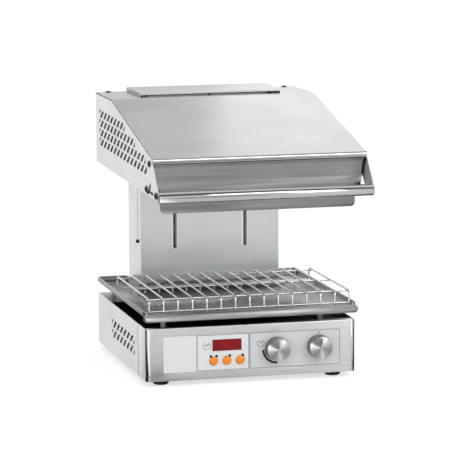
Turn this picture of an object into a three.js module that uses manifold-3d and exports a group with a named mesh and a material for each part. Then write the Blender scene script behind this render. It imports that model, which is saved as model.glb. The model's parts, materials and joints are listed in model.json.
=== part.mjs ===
// Countertop salamander grill with a hood that slides up and down a rear column.
// Millimetres, +Z up. X runs across, Y from the front to the rear.
// Inside the appliance group the front face of the base is Y = 0 and its underside is Z = 0.
// The group is then moved so that the origin is on the table, under the middle of the whole.

import * as THREE from 'three';
import { mergeVertices } from 'three/addons/utils/BufferGeometryUtils.js';
import Module from 'manifold-3d';

// Driving dimensions of the whole
const baseWidth = 400;
const baseDepth = 417;
const baseHeight = 98;
const columnWidth = 275;
const columnDepth = 105;
const columnHeadroom = 23;
const hoodHeight = 142;
const hoodRise = 394;
const hoodTravel = 120;
const sheet = 1.5;
const gap = 0.3;
const overrun = 5;

// Base
const cornerRadius = 9;
const frontWrap = 66;
const frontFlange = 16;
const seam = 0.6;
const deckDepth = 112;
const recessDepth = 38;
const recessLipShare = 0.55;
const shelfGap = 2;
const shelfDepth = 50;
const footRadius = 15;
const footHeight = 11;
const footInset = 35;
const footWaist = 12;
const footEdge = 2.5;

// Fascia plates and the controls on them
const fasciaThickness = 1;
const fasciaHeight = 67.5;
const fasciaInset = 32;
const fasciaEndInset = 30.5;
const fasciaCorner = 3;
const plateJoint = 0.75;
const badgeWidth = 62.5;
const timerWidth = 99.5;
const displayWidth = 55;
const displayHeight = 21;
const displayThickness = 2.5;
const displayOffset = 7.5;
const displayRise = 13.5;
const buttonRadius = 7.8;
const buttonPitch = 25.25;
const buttonDrop = 15.5;
const buttonProud = 3;
const buttonTravel = 2;
const buttonDome = 0.8;
const buttonCollar = 1.2;
const buttonStemRadius = 3;
const buttonStemLength = 4;
const knobRadius = 22.5;
const knobHeight = 20;
const knobClearance = 0.6;
const knobPitchShare = 0.4655;
const knobOffset = 5;
const knobRise = 2;
const knobEdge = 1.6;
const knobTaper = 0.8;
const knobDish = 1.2;
const knobSocketDepth = 13;
const shaftRadius = 3;
const shaftHead = 2;

// Parts behind the front panel and on the floor
const boardThickness = 1.6;
const boardMargin = 8;
const displayModuleDepth = 8;
const buttonSwitchSide = 12;
const regulatorSide = 42;
const regulatorDepth = 30;
const switchSide = 46;
const switchDepth = 38;
const terminalLength = 70;
const terminalDepth = 24;
const terminalHeight = 30;
const terminalStep = 8;
const glandRadius = 8;
const glandBore = 3.5;
const glandNutRadius = 12;
const glandNutLength = 6;
const glandLength = 12;
const glandInside = 10;
const glandInset = 60;
const glandRise = 30;

// Column, its guides and the gas spring
const slotSpacing = 140;
const slotWidth = 9;
const slotRise = 98;
const slotTopMargin = 18;
const sideSlotWidth = 3.5;
const sideSlotRise = 107;
const sideSlotTopMargin = 24;
const sideSlotSetback = 27;
const columnReturn = 10;
const guideRadius = 6;
const guideInset = 37.5;
const runningGap = 0.35;
const springRadius = 9;
const springBore = 5;
const springRodRadius = 4;
const springTopGap = 3;
const springBase = 6;
const springRodGap = 5;
const guardInset = 38;
const guardRise = 16.8;
const guardSheet = 1.2;
const guardFoot = 136;
const guardCorner = 8;

// Lift carriage
const stopClearance = 2;
const crossheadInset = 19.5;
const crossheadHeight = 25;
const crossheadDepth = 25;
const armThickness = 6;
const armDepth = 10;
const armRise = 50;
const armStandoff = 3;

// Posts, tray and rack
const postRadius = 5;
const frontPostInset = 49;
const frontPostSetback = 70;
const rearPostOffset = 1;
const rearPostInset = 17;
const trayOverhang = 3;
const trayFront = 2;
const trayLift = 16;
const trayHeight = 16.2;
const trayFrontCorner = 16;
const earCornerShare = 0.129;
const trayNotchGap = 3.5;
const trayNotchFrontGap = 6;
const trayRearGap = 1;
const gripRadius = 7.5;
const gripOverhang = 3.5;
const gripRise = 20;
const gripEnd = 3.5;
const rackWires = 15;
const rackSideGap = 9.2;
const rackFront = 12.5;
const rackRearGap = 28;
const wireRadius = 1.75;
const wireBend = 8;
const rackRise = 20.8;
const rackLowDrop = 23.3;
const wireWeldShare = 1.6;
const frontCrossSetback = 6;

// Hood
const hoodRearOverhang = 3;
const hoodFlatDepth = 144;
const noseReach = 60;
const noseDrop = 70.4;
const tipReach = 109;
const tipRise = 16;
const chinReach = 100;
const edgeRise = 9;
const sideFlange = 12;
const sideFlangeSetback = 40;
const coverRearFlange = 14;
const barRadius = 6;
const barReach = 64;
const barDrop = 76.5;
const handleRadius = 10.5;
const handleReach = 108;
const handleRise = 5.5;
const handleEdge = 1;
const windowApexReach = 43;
const windowApexRise = 27;
const windowFrontReach = 64;
const windowRearReach = 24;
const windowSillRise = 5;
const shieldSheet = 1.2;
const shieldSideGap = 5;
const shieldTopReach = 66;
const shieldKneeReach = 46;
const shieldKneeDrop = 14;
const shieldLowReach = 48;
const shieldLowRise = 12;
const lipInset = 17;
const lipDrop = 32;
const lipCorner = 8;
const innerBackGap = 14.8;
const innerBackDrop = 22;
const exhaustInset = 19.5;
const exhaustFrontInset = 49;
const exhaustRearInset = 20;

// Vents: slanted slots in rows on the hood's and the base's sides
const ventWidth = 15.5;
const ventHeight = 14.5;
const ventLean = 20;
const ventCorner = 2;
const ventPitch = 29;
const ventPhase = 4.5;
const hoodVentRearInset = 31;
const hoodVentRows = 4;
const hoodVentRise = 43.4;
const hoodVentRowPitch = 18.2;
const hoodVentFrontLimit = 20;
const hoodVentMargin = 64;
const baseVentRows = 2;
const baseVentFront = 97;
const baseVentRearInset = 126;
const baseVentDrop = 57;
const baseVentRowPitch = 19.3;

// Reflector and heating elements
const reflectorInset = 18;
const reflectorHeight = 27;
const reflectorSlope = 16;
const reflectorRise = 1;
const elementCount = 3;
const elementRadius = 3.25;
const elementRise = 13;
const elementPitchShare = 0.3187;
const elementLegSpacing = 58;
const elementFrontMargin = 30;
const holderInset = 20;
const holderDepth = 18;
const holderRise = 2;
const holderHeight = 14;
const holderBackGap = 10;

// Cowl over the hood's exhaust
const cowlWidth = 279;
const cowlFrontInset = 26;
const cowlRearInset = 1;
const cowlHeight = 8;
const cowlSheet = 1.2;
const cowlLip = 3.5;
const standoffRadius = 3;
const standoffInset = 15.5;
const standoffSetback = 8;

// Facets of round forms
const roundSides = 24;
const midRoundSides = 16;
const smallRoundSides = 12;
const wireSides = 6;
const cornerSteps = 4;
const bendSteps = 3;
const shieldSteps = 5;
const uBendSteps = 8;

// Places worked out from the sizes above
const halfWidth = baseWidth / 2;
const innerHalf = halfWidth - sheet - gap;
const deckFront = baseDepth - deckDepth;
const rearInner = baseDepth - sheet - gap;
const columnFront = baseDepth - columnDepth;
const columnHalf = columnWidth / 2;
const columnFoot = baseHeight + gap;
const columnMiddle = columnFront + columnDepth / 2;
const slotBottom = baseHeight + slotRise;
const carriageBottom = slotBottom + hoodTravel + stopClearance;
const carriageTop = carriageBottom + crossheadHeight;
const columnTop = carriageTop + columnHeadroom;
const springTop = slotBottom - springTopGap;
const hoodTop = baseHeight + hoodRise;
const hoodBottom = hoodTop - hoodHeight;
const hoodRear = baseDepth + hoodRearOverhang;
const hoodBend = hoodRear - hoodFlatDepth;
const noseSlope = noseDrop / (hoodBend + noseReach);
const edgeSlope = edgeRise / (hoodRear + chinReach);
const edgeAt = (y) => hoodBottom + y * edgeSlope;
const barHeight = hoodTop - barDrop;
const handleHeight = hoodBottom + handleRise;
const shieldLowHeight = hoodBottom + shieldLowRise;
const innerBack = columnFront - innerBackGap;
const reflectorHalf = halfWidth - reflectorInset;
const elementPitch = reflectorHalf * 2 * elementPitchShare;
const elementHeight = hoodBottom + elementRise;
const cowlFront = hoodBend + cowlFrontInset;
const recessFloor = baseHeight - recessDepth;
const trayBottom = baseHeight + trayLift;
const trayTop = trayBottom + trayHeight;
const trayHalf = halfWidth + trayOverhang;
const notchHalf = columnHalf + trayNotchGap;
const rackHalfWidth = halfWidth - rackSideGap;
const rackRear = columnFront - rackRearGap;
const rackTopHeight = trayTop + rackRise;
const rackLowHeight = rackTopHeight - rackLowDrop;
const fasciaLeft = fasciaInset - halfWidth;
const fasciaFace = -fasciaThickness;
const fasciaCentreHeight = baseHeight / 2;
const timerLeft = fasciaLeft + badgeWidth + plateJoint;
const knobPlateLeft = timerLeft + timerWidth + plateJoint;
const knobPlateWidth = halfWidth - fasciaEndInset - knobPlateLeft;
const displayX = timerLeft + timerWidth / 2 + displayOffset;
const displayZ = fasciaCentreHeight + displayRise;
const buttonZ = fasciaCentreHeight - buttonDrop;
const buttonXs = [-1, 0, 1].map((step) => displayX + step * buttonPitch);
const knobMiddle = knobPlateLeft + knobPlateWidth / 2 + knobOffset;
const knobXs = [-1 / 2, 1 / 2].map((step) => knobMiddle + step * knobPlateWidth * knobPitchShare);
const knobZ = fasciaCentreHeight + knobRise;
const panelBack = sheet + gap;
const boardTop = displayZ + displayHeight / 2;
const shelf = Math.max(boardTop, knobZ + Math.max(regulatorSide, switchSide) / 2) + shelfGap;
const recessLip = (baseHeight - shelf) * recessLipShare;

const wasm = await Module();
wasm.setup();

// A closed three.js geometry as a solid for cutting and joining.
function solidOf(geometry) {
  const bare = geometry.clone();
  bare.deleteAttribute('normal');
  bare.deleteAttribute('uv');
  const merged = mergeVertices(bare);
  const vertProperties = new Float32Array(merged.attributes.position.array);
  const triVerts = new Uint32Array(merged.index.array);
  return new wasm.Manifold(new wasm.Mesh({ numProp: 3, vertProperties, triVerts }));
}

function geometryOf(solid) {
  const mesh = solid.getMesh();
  const geometry = new THREE.BufferGeometry();
  geometry.setAttribute('position', new THREE.BufferAttribute(mesh.vertProperties, 3));
  geometry.setIndex(new THREE.BufferAttribute(mesh.triVerts, 1));
  return geometry;
}

function join(...geometries) {
  return geometryOf(geometries.map(solidOf).reduce((whole, part) => whole.add(part)));
}

function cut(geometry, ...tools) {
  return geometryOf(tools.map(solidOf).reduce((rest, tool) => rest.subtract(tool), solidOf(geometry)));
}

function common(geometry, other) {
  return geometryOf(solidOf(geometry).intersect(solidOf(other)));
}

// Flat outlines pushed through a thickness, each along one axis.
function extruded(shape, length) {
  return new THREE.ExtrudeGeometry(shape, { depth: length, bevelEnabled: false, curveSegments: cornerSteps });
}

// The shape's x and y become Y and Z.
function alongX(shape, left, right) {
  const turn = new THREE.Matrix4().makeBasis(
    new THREE.Vector3(0, 1, 0), new THREE.Vector3(0, 0, 1), new THREE.Vector3(1, 0, 0));
  return extruded(shape, right - left).applyMatrix4(turn).translate(left, 0, 0);
}

// The shape's x and y become X and Z.
function alongY(shape, front, rear) {
  const turn = new THREE.Matrix4().makeBasis(
    new THREE.Vector3(1, 0, 0), new THREE.Vector3(0, 0, 1), new THREE.Vector3(0, -1, 0));
  return extruded(shape, rear - front).applyMatrix4(turn).translate(0, rear, 0);
}

function alongZ(shape, bottom, top) {
  return extruded(shape, top - bottom).translate(0, 0, bottom);
}

function shapeOf(points) {
  return new THREE.Shape(points.map(([x, y]) => new THREE.Vector2(x, y)));
}

function block(left, right, front, rear, bottom, top) {
  const box = new THREE.BoxGeometry(right - left, rear - front, top - bottom);
  return box.translate((left + right) / 2, (front + rear) / 2, (bottom + top) / 2);
}

// Round bars along each axis, from one end to the other.
function barX(radius, left, right, y, z, sides = roundSides) {
  const bar = new THREE.CylinderGeometry(radius, radius, right - left, sides);
  return bar.rotateZ(Math.PI / 2).translate((left + right) / 2, y, z);
}

function barY(radius, front, rear, x, z, sides = roundSides) {
  const bar = new THREE.CylinderGeometry(radius, radius, rear - front, sides);
  return bar.translate(x, (front + rear) / 2, z);
}

function barZ(radius, bottom, top, x, y, sides = roundSides) {
  const bar = new THREE.CylinderGeometry(radius, radius, top - bottom, sides);
  return bar.rotateX(Math.PI / 2).translate(x, y, (bottom + top) / 2);
}

// A turned piece whose profile, given as radius and distance, stands along +Z.
function turned(profile, sides = roundSides) {
  const points = profile.map(([radius, along]) => new THREE.Vector2(radius, along));
  return new THREE.LatheGeometry(points, sides).rotateX(Math.PI / 2);
}

// A turned piece that faces the front, with distances measured towards the user.
function turnedToFront(profile, sides = roundSides) {
  return turned(profile, sides).rotateX(Math.PI / 2);
}

// A loop of right-angled corners, each rounded to its own radius.
function roundedLoop(corners) {
  const points = [];
  corners.forEach(([x, y, radius], index) => {
    const corner = new THREE.Vector2(x, y);
    const [beforeX, beforeY] = corners[(index + corners.length - 1) % corners.length];
    const [afterX, afterY] = corners[(index + 1) % corners.length];
    const arriving = corner.clone().sub(new THREE.Vector2(beforeX, beforeY)).normalize();
    const leaving = new THREE.Vector2(afterX, afterY).sub(corner).normalize();
    const centre = corner.clone().addScaledVector(arriving, -radius).addScaledVector(leaving, radius);
    for (let step = 0; step <= cornerSteps; step += 1) {
      const angle = (step / cornerSteps) * Math.PI / 2;
      points.push(centre.clone()
        .addScaledVector(leaving, -radius * Math.cos(angle))
        .addScaledVector(arriving, radius * Math.sin(angle)));
    }
  });
  return points;
}

// A pressed pan: the same loop at several levels, closed by a cap at the first and the last.
// outlineAt gives the loop, anticlockwise, for a distance inside the rim, and the last level faces up.
function pressedPan(outlineAt, levels) {
  const rings = levels.map(([inset, z]) => outlineAt(inset).map((point) => [point.x, point.y, z]));
  const count = rings[0].length;
  const positions = new Float32Array(rings.flat(2));
  const faces = [];
  for (let ring = 0; ring + 1 < rings.length; ring += 1) {
    for (let index = 0; index < count; index += 1) {
      const next = (index + 1) % count;
      const low = ring * count;
      const high = low + count;
      faces.push(low + index, low + next, high + next, low + index, high + next, high + index);
    }
  }
  const last = (rings.length - 1) * count;
  const loop = (ring) => ring.map(([x, y]) => new THREE.Vector2(x, y));
  for (const [a, b, c] of THREE.ShapeUtils.triangulateShape(loop(rings[0]), [])) faces.push(a, c, b);
  for (const [a, b, c] of THREE.ShapeUtils.triangulateShape(loop(rings.at(-1)), [])) {
    faces.push(last + a, last + b, last + c);
  }
  const geometry = new THREE.BufferGeometry();
  geometry.setAttribute('position', new THREE.BufferAttribute(positions, 3));
  geometry.setIndex(faces);
  return geometry;
}

// A bent wire or tube: a path through its stations, with each ring square to the bend there.
class BentPath extends THREE.Curve {
  constructor(stations) {
    super();
    this.stations = stations;
  }

  getPoint(share) {
    const place = share * (this.stations.length - 1);
    const index = Math.min(Math.floor(place), this.stations.length - 2);
    return this.stations[index].clone().lerp(this.stations[index + 1], place - index);
  }

  getTangent(share) {
    const last = this.stations.length - 1;
    const index = Math.round(share * last);
    const before = this.stations[Math.max(index - 1, 0)];
    const here = this.stations[index];
    const after = this.stations[Math.min(index + 1, last)];
    const arriving = here.clone().sub(before).normalize();
    const leaving = after.clone().sub(here).normalize();
    return arriving.add(leaving).normalize();
  }

  getTangentAt(share) {
    return this.getTangent(share);
  }

  getSpacedPoints(steps) {
    return Array.from({ length: steps + 1 }, (_, step) => this.getPoint(step / steps));
  }
}

function bentTube(stations, radius, sides) {
  const section = new THREE.Shape(Array.from({ length: sides }, (_, side) => {
    const angle = (side / sides) * Math.PI * 2;
    return new THREE.Vector2(radius * Math.cos(angle), radius * Math.sin(angle));
  }));
  const path = new BentPath(stations);
  return new THREE.ExtrudeGeometry(section, { steps: stations.length - 1, extrudePath: path });
}

// Points of an arc in the plane of two directions.
function arcPoints(centre, fromDirection, toDirection, radius, angle, steps) {
  return Array.from({ length: steps + 1 }, (_, step) => {
    const turn = (step / steps) * angle;
    return centre.clone()
      .addScaledVector(fromDirection, radius * Math.cos(turn))
      .addScaledVector(toDirection, radius * Math.sin(turn));
  });
}

const finishes = {
  steel: { color: 0xc6c8c9, roughness: 0.34, metalness: 0.9 },
  polished: { color: 0xd4d6d8, roughness: 0.14, metalness: 1 },
  inner: { color: 0x9b9d9e, roughness: 0.5, metalness: 0.8 },
  black: { color: 0x0c0c0d, roughness: 0.6, metalness: 0.1 },
  pale: { color: 0xdfe0e1, roughness: 0.45, metalness: 0.2 },
  spun: { color: 0xcdcfd1, roughness: 0.25, metalness: 1 },
  orange: { color: 0xf08a24, roughness: 0.45, metalness: 0 },
  red: { color: 0x8f1622, roughness: 0.15, metalness: 0 },
  rubber: { color: 0x151515, roughness: 0.85, metalness: 0 },
  board: { color: 0x2c5a3a, roughness: 0.6, metalness: 0 },
  ceramic: { color: 0xe6e0d2, roughness: 0.7, metalness: 0 },
  element: { color: 0x5c5450, roughness: 0.55, metalness: 0.7 },
};

const appliance = new THREE.Group();

function group(parent) {
  const holder = new THREE.Group();
  parent.add(holder);
  return holder;
}

function piece(parent, name, geometry, finish, place = [0, 0, 0]) {
  const mesh = new THREE.Mesh(geometry, new THREE.MeshStandardMaterial(finishes[finish]));
  mesh.name = name;
  mesh.position.set(...place);
  parent.add(mesh);
  return mesh;
}

// The part of a loop of corners on the side of an upright limit that the sign names.
function keptSide(loop, limit, sign) {
  return loop.flatMap(([y, z], index) => {
    const [nextY, nextZ] = loop[(index + 1) % loop.length];
    const inside = (y - limit) * sign >= 0;
    const kept = inside ? [[y, z]] : [];
    if (inside !== (nextY - limit) * sign >= 0) {
      kept.push([limit, z + (nextZ - z) * (limit - y) / (nextY - y)]);
    }
    return kept;
  });
}

// Slots whose tops lean to the front, in one row along Y that ends upright at the front and the rear.
// The row's middle has its height at Y = 0 and rises with the slope.
function ventRow(front, rear, height, slope) {
  const side = new THREE.Vector2(-ventLean, ventHeight).setLength(ventCorner);
  const copies = Math.ceil((rear + ventPhase - front - ventWidth / 2) / ventPitch) + 1;
  return Array.from({ length: copies }, (_, copy) => rear + ventPhase - copy * ventPitch)
    .filter((centre) => centre > front - ventWidth / 2)
    .map((centre) => {
      const low = centre + (ventLean - ventWidth) / 2;
      const high = low - ventLean;
      const slot = [
        [low, 0], [low + ventWidth - ventCorner, 0], [low + ventWidth + side.x, side.y],
        [high + ventWidth, ventHeight], [high + ventCorner, ventHeight], [high - side.x, ventHeight - side.y],
      ];
      const points = keptSide(keptSide(slot, front, 1), rear, -1);
      return new THREE.Path(points.map(([y, z]) => (
        new THREE.Vector2(y, z + height - ventHeight / 2 + y * slope))));
    });
}

// Base: folded front, two vented sides, rear, floor, deck and the black recess under the tray

function frontPanel() {
  const inner = halfWidth - sheet;
  const wall = new THREE.Shape();
  wall.moveTo(-halfWidth, frontWrap);
  wall.lineTo(-halfWidth, cornerRadius);
  wall.absarc(cornerRadius - halfWidth, cornerRadius, cornerRadius, Math.PI, Math.PI * 1.5, false);
  wall.absarc(halfWidth - cornerRadius, cornerRadius, cornerRadius, Math.PI * 1.5, Math.PI * 2, false);
  wall.lineTo(halfWidth, frontWrap);
  wall.lineTo(inner, frontWrap);
  wall.absarc(halfWidth - cornerRadius, cornerRadius, cornerRadius - sheet, 0, -Math.PI / 2, true);
  wall.absarc(cornerRadius - halfWidth, cornerRadius, cornerRadius - sheet, Math.PI * 1.5, Math.PI, true);
  wall.lineTo(-inner, frontWrap);
  const flange = new THREE.Shape();
  flange.moveTo(-halfWidth, frontFlange);
  flange.lineTo(-halfWidth, cornerRadius);
  flange.absarc(cornerRadius - halfWidth, cornerRadius, cornerRadius, Math.PI, Math.PI * 1.5, false);
  flange.absarc(halfWidth - cornerRadius, cornerRadius, cornerRadius, Math.PI * 1.5, Math.PI * 2, false);
  flange.lineTo(halfWidth, frontFlange);
  const panel = join(alongZ(wall, 0, baseHeight), alongZ(flange, baseHeight - sheet, baseHeight));
  const front = fasciaFace - overrun;
  const back = sheet + overrun;
  const openings = [
    displayOpening(front, back),
    ...buttonXs.map((x) => barY(buttonRadius + gap * 2, front, back, x, buttonZ, midRoundSides)),
    ...knobXs.map((x) => barY(shaftRadius + gap * 2, front, back, x, knobZ, smallRoundSides)),
  ];
  return cut(panel, ...openings);
}

function displayOpening(front, back) {
  return block(
    displayX - displayWidth / 2 - gap, displayX + displayWidth / 2 + gap,
    front, back,
    displayZ - displayHeight / 2 - gap, displayZ + displayHeight / 2 + gap);
}

function baseSide(side) {
  const shape = shapeOf([
    [frontWrap + seam, 0], [baseDepth, 0], [baseDepth, baseHeight], [frontWrap + seam, baseHeight],
  ]);
  for (let row = 0; row < baseVentRows; row += 1) {
    const height = baseHeight - baseVentDrop + row * baseVentRowPitch;
    shape.holes.push(...ventRow(baseVentFront, baseDepth - baseVentRearInset, height, 0));
  }
  const [left, right] = side < 0 ? [-halfWidth, sheet - halfWidth] : [halfWidth - sheet, halfWidth];
  return alongX(shape, left, right);
}

// The space inside the folded front panel and the two sides, as a plan.
function insidePlan(rear) {
  const radius = cornerRadius - panelBack;
  const plan = new THREE.Shape();
  plan.moveTo(-innerHalf, rear);
  plan.lineTo(-innerHalf, cornerRadius);
  plan.absarc(cornerRadius - halfWidth, cornerRadius, radius, Math.PI, Math.PI * 1.5, false);
  plan.absarc(halfWidth - cornerRadius, cornerRadius, radius, Math.PI * 1.5, Math.PI * 2, false);
  plan.lineTo(innerHalf, rear);
  return plan;
}

// A shelf over the controls, then a step down to the recess floor.
function recess() {
  const rear = deckFront - gap;
  const lowRear = rear - sheet;
  const front = panelBack;
  const profile = shapeOf([
    [front, shelf + recessLip], [front, shelf], [shelfDepth, shelf], [shelfDepth, recessFloor],
    [rear, recessFloor], [rear, baseHeight - sheet - gap], [lowRear, baseHeight - sheet - gap],
    [lowRear, recessFloor + sheet], [shelfDepth + sheet, recessFloor + sheet],
    [shelfDepth + sheet, shelf + sheet], [front + sheet, shelf + sheet], [front + sheet, shelf + recessLip],
  ]);
  return common(alongX(profile, -innerHalf, innerHalf), alongZ(insidePlan(deckFront), 0, baseHeight));
}

function rearDeck() {
  const deck = block(-innerHalf, innerHalf, deckFront, rearInner, baseHeight - sheet, baseHeight);
  const bore = springRadius + gap * 2;
  return cut(deck, barZ(bore, baseHeight - overrun, baseHeight + overrun, 0, columnMiddle));
}

const glandX = halfWidth - glandInset;
const base = group(appliance);
piece(base, 'base_front_panel', frontPanel(), 'steel');
piece(base, 'base_left_side', baseSide(-1), 'steel');
piece(base, 'base_right_side', baseSide(1), 'steel');
const rearSheet = block(-innerHalf, innerHalf, baseDepth - sheet, baseDepth, sheet + gap, baseHeight);
const glandHole = barY(glandRadius + gap, baseDepth - overrun, baseDepth + overrun, glandX, glandRise);
piece(base, 'base_rear_panel', cut(rearSheet, glandHole), 'steel');
piece(base, 'base_floor', alongZ(insidePlan(baseDepth), 0, sheet), 'inner');
piece(base, 'rear_deck', rearDeck(), 'steel');
piece(base, 'recess_pan', recess(), 'black');

const footProfile = [
  [0, 0], [footRadius - footEdge, 0], [footRadius, footEdge], [footRadius, footHeight / 2],
  [footWaist, footHeight - gap], [0, footHeight - gap],
];
const footX = halfWidth - footInset;
for (const [x, xName] of [[-footX, 'left'], [footX, 'right']]) {
  for (const [y, yName] of [[footInset, 'front'], [baseDepth - footInset, 'rear']]) {
    piece(base, `foot_${yName}_${xName}`, turned(footProfile, midRoundSides), 'rubber', [x, y, -footHeight]);
  }
}

// Fascia: three flat plates side by side on the front panel

function fasciaPlate(left, width) {
  const loop = roundedLoop([
    [left, fasciaCentreHeight - fasciaHeight / 2, fasciaCorner],
    [left + width, fasciaCentreHeight - fasciaHeight / 2, fasciaCorner],
    [left + width, fasciaCentreHeight + fasciaHeight / 2, fasciaCorner],
    [left, fasciaCentreHeight + fasciaHeight / 2, fasciaCorner],
  ]);
  return alongY(new THREE.Shape(loop), fasciaFace, -gap);
}

function timerPlate() {
  const front = fasciaFace - overrun;
  const holes = buttonXs.map((x) => (
    barY(buttonRadius + gap * 2, front, overrun, x, buttonZ, midRoundSides)));
  return cut(fasciaPlate(timerLeft, timerWidth), displayOpening(front, overrun), ...holes);
}

function knobPlate() {
  const front = fasciaFace - overrun;
  const hole = (x) => barY(shaftRadius + gap * 2, front, overrun, x, knobZ, smallRoundSides);
  return cut(fasciaPlate(knobPlateLeft, knobPlateWidth), ...knobXs.map(hole));
}

const controls = group(appliance);
piece(controls, 'badge_plate', fasciaPlate(fasciaLeft, badgeWidth), 'pale');
piece(controls, 'timer_plate', timerPlate(), 'pale');
piece(controls, 'knob_plate', knobPlate(), 'steel');
const displayLens = block(
  -displayWidth / 2, displayWidth / 2, 0, displayThickness, -displayHeight / 2, displayHeight / 2);
piece(controls, 'display_window', displayLens, 'red', [displayX, fasciaFace, displayZ]);

// Buttons: a low dome with a stem behind it that presses a switch on the board
const buttonBack = sheet;
const stemEnd = buttonBack + buttonStemLength;
const buttonFront = buttonProud - fasciaFace;
const buttonProfile = [
  [0, -stemEnd], [buttonStemRadius, -stemEnd], [buttonStemRadius, -buttonBack],
  [buttonRadius, -buttonBack], [buttonRadius, buttonFront - buttonDome],
  [buttonRadius - buttonCollar, buttonFront], [0, buttonFront + buttonDome / 2],
];
['left_button', 'middle_button', 'right_button'].forEach((name, index) => {
  piece(controls, name, turnedToFront(buttonProfile, midRoundSides), 'orange', [buttonXs[index], 0, buttonZ]);
});

// Timer board: the display module stands close behind the window, a switch behind each button
const moduleFront = fasciaFace + displayThickness + gap;
const switchFront = stemEnd + buttonTravel + gap;
const boardFront = Math.max(moduleFront + displayModuleDepth, switchFront + buttonStemLength);
const boardBottom = buttonZ - buttonSwitchSide / 2 - boardMargin / 2;
const boardHalf = displayWidth / 2 + boardMargin;
const timerBoard = join(
  block(displayX - boardHalf, displayX + boardHalf, boardFront, boardFront + boardThickness,
    boardBottom, boardTop),
  block(displayX - displayWidth / 2, displayX + displayWidth / 2, moduleFront,
    boardFront + boardThickness / 2, displayZ - displayHeight / 2, displayZ + displayHeight / 2),
  ...buttonXs.map((x) => block(x - buttonSwitchSide / 2, x + buttonSwitchSide / 2, switchFront,
    boardFront + boardThickness / 2, buttonZ - buttonSwitchSide / 2, buttonZ + buttonSwitchSide / 2)));
piece(controls, 'timer_board', timerBoard, 'board');

// Knobs: spun caps with a socket for the shaft that turns with them
const knobBack = fasciaThickness + knobClearance;
const knobFace = knobBack + knobHeight;
const socketRadius = shaftRadius + gap;
const socketEnd = knobBack + knobSocketDepth;
const knobProfile = [
  [socketRadius, knobBack], [knobRadius, knobBack], [knobRadius - knobTaper, knobFace - knobEdge],
  [knobRadius - knobTaper - knobEdge, knobFace], [0, knobFace - knobDish],
  [0, socketEnd], [socketRadius, socketEnd], [socketRadius, knobBack],
];
const shaftProfile = [
  [0, -sheet], [shaftRadius, -sheet], [shaftRadius, socketEnd - gap - shaftHead / 4],
  [shaftRadius - shaftHead / 4, socketEnd - gap], [0, socketEnd - gap],
];
['left', 'right'].forEach((side, index) => {
  const place = [knobXs[index], 0, knobZ];
  piece(controls, `${side}_knob`, turnedToFront(knobProfile), 'spun', place);
  piece(controls, `${side}_shaft`, turnedToFront(shaftProfile, smallRoundSides), 'polished', place);
});

function controlBody(x, side, depth) {
  const half = side / 2;
  return block(x - half, x + half, panelBack, panelBack + depth, knobZ - half, knobZ + half);
}

piece(controls, 'regulator_body', controlBody(knobXs[0], regulatorSide, regulatorDepth), 'ceramic');
piece(controls, 'switch_body', controlBody(knobXs[1], switchSide, switchDepth), 'black');

// Mains side: a stepped terminal block on the floor and a gland in the rear panel
const terminalRear = baseDepth - sheet - glandInside - terminalStep;
const terminalProfile = shapeOf([
  [terminalRear - terminalDepth, sheet + gap], [terminalRear, sheet + gap],
  [terminalRear, terminalHeight], [terminalRear - terminalStep, terminalHeight],
  [terminalRear - terminalStep, terminalHeight - terminalStep],
  [terminalRear - terminalDepth, terminalHeight - terminalStep],
]);
piece(base, 'terminal_block',
  alongX(terminalProfile, glandX - terminalLength / 2, glandX + terminalLength / 2), 'ceramic');
const glandProfile = [
  [glandBore, -glandInside], [glandRadius, -glandInside], [glandRadius, gap], [glandNutRadius, gap],
  [glandNutRadius, glandNutLength], [glandRadius, glandLength], [glandBore, glandLength],
  [glandBore, -glandInside],
];
const gland = turned(glandProfile, midRoundSides).rotateX(-Math.PI / 2);
piece(base, 'cable_gland', gland, 'black', [glandX, baseDepth, glandRise]);

// Column: slotted casing, rear cover, cap, two guide rods, gas spring and a guard at its foot

function columnCasing() {
  const inner = columnHalf - sheet;
  const rear = baseDepth - sheet - gap;
  const lip = columnHalf - columnReturn;
  const plan = shapeOf([
    [-columnHalf, columnFront], [columnHalf, columnFront], [columnHalf, rear], [lip, rear],
    [lip, rear - sheet], [inner, rear - sheet], [inner, columnFront + sheet],
    [-inner, columnFront + sheet], [-inner, rear - sheet], [-lip, rear - sheet], [-lip, rear],
    [-columnHalf, rear],
  ]);
  const slot = (x) => {
    const half = slotWidth / 2;
    const front = columnFront - overrun;
    const back = columnFront + sheet + overrun;
    const straight = block(x - half, x + half, front, back, slotBottom + half, columnTop - slotTopMargin);
    return join(straight, barY(half, front, back, x, slotBottom + half, smallRoundSides));
  };
  const sideY = columnFront + sideSlotSetback;
  const sideSlot = block(
    -columnHalf - overrun, -inner + overrun,
    sideY - sideSlotWidth / 2, sideY + sideSlotWidth / 2,
    baseHeight + sideSlotRise, columnTop - sideSlotTopMargin);
  return cut(alongZ(plan, columnFoot, columnTop - sheet - gap),
    slot(-slotSpacing / 2), slot(slotSpacing / 2), sideSlot);
}

// The guard is narrow below the tray's rim, between the tray and the column, and wide above it.
function footGuard() {
  const foot = guardFoot / 2 + trayNotchGap;
  const wide = halfWidth - guardInset;
  const top = trayTop + guardRise;
  const shoulder = trayTop + stopClearance;
  const shape = new THREE.Shape();
  shape.moveTo(-foot, columnFoot);
  shape.lineTo(foot, columnFoot);
  shape.lineTo(foot, shoulder);
  shape.lineTo(wide, shoulder);
  shape.lineTo(wide, top - guardCorner);
  shape.absarc(wide - guardCorner, top - guardCorner, guardCorner, 0, Math.PI / 2, false);
  shape.absarc(guardCorner - wide, top - guardCorner, guardCorner, Math.PI / 2, Math.PI, false);
  shape.lineTo(-wide, shoulder);
  shape.lineTo(-foot, shoulder);
  return alongY(shape, columnFront - gap - guardSheet, columnFront - gap);
}

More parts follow.
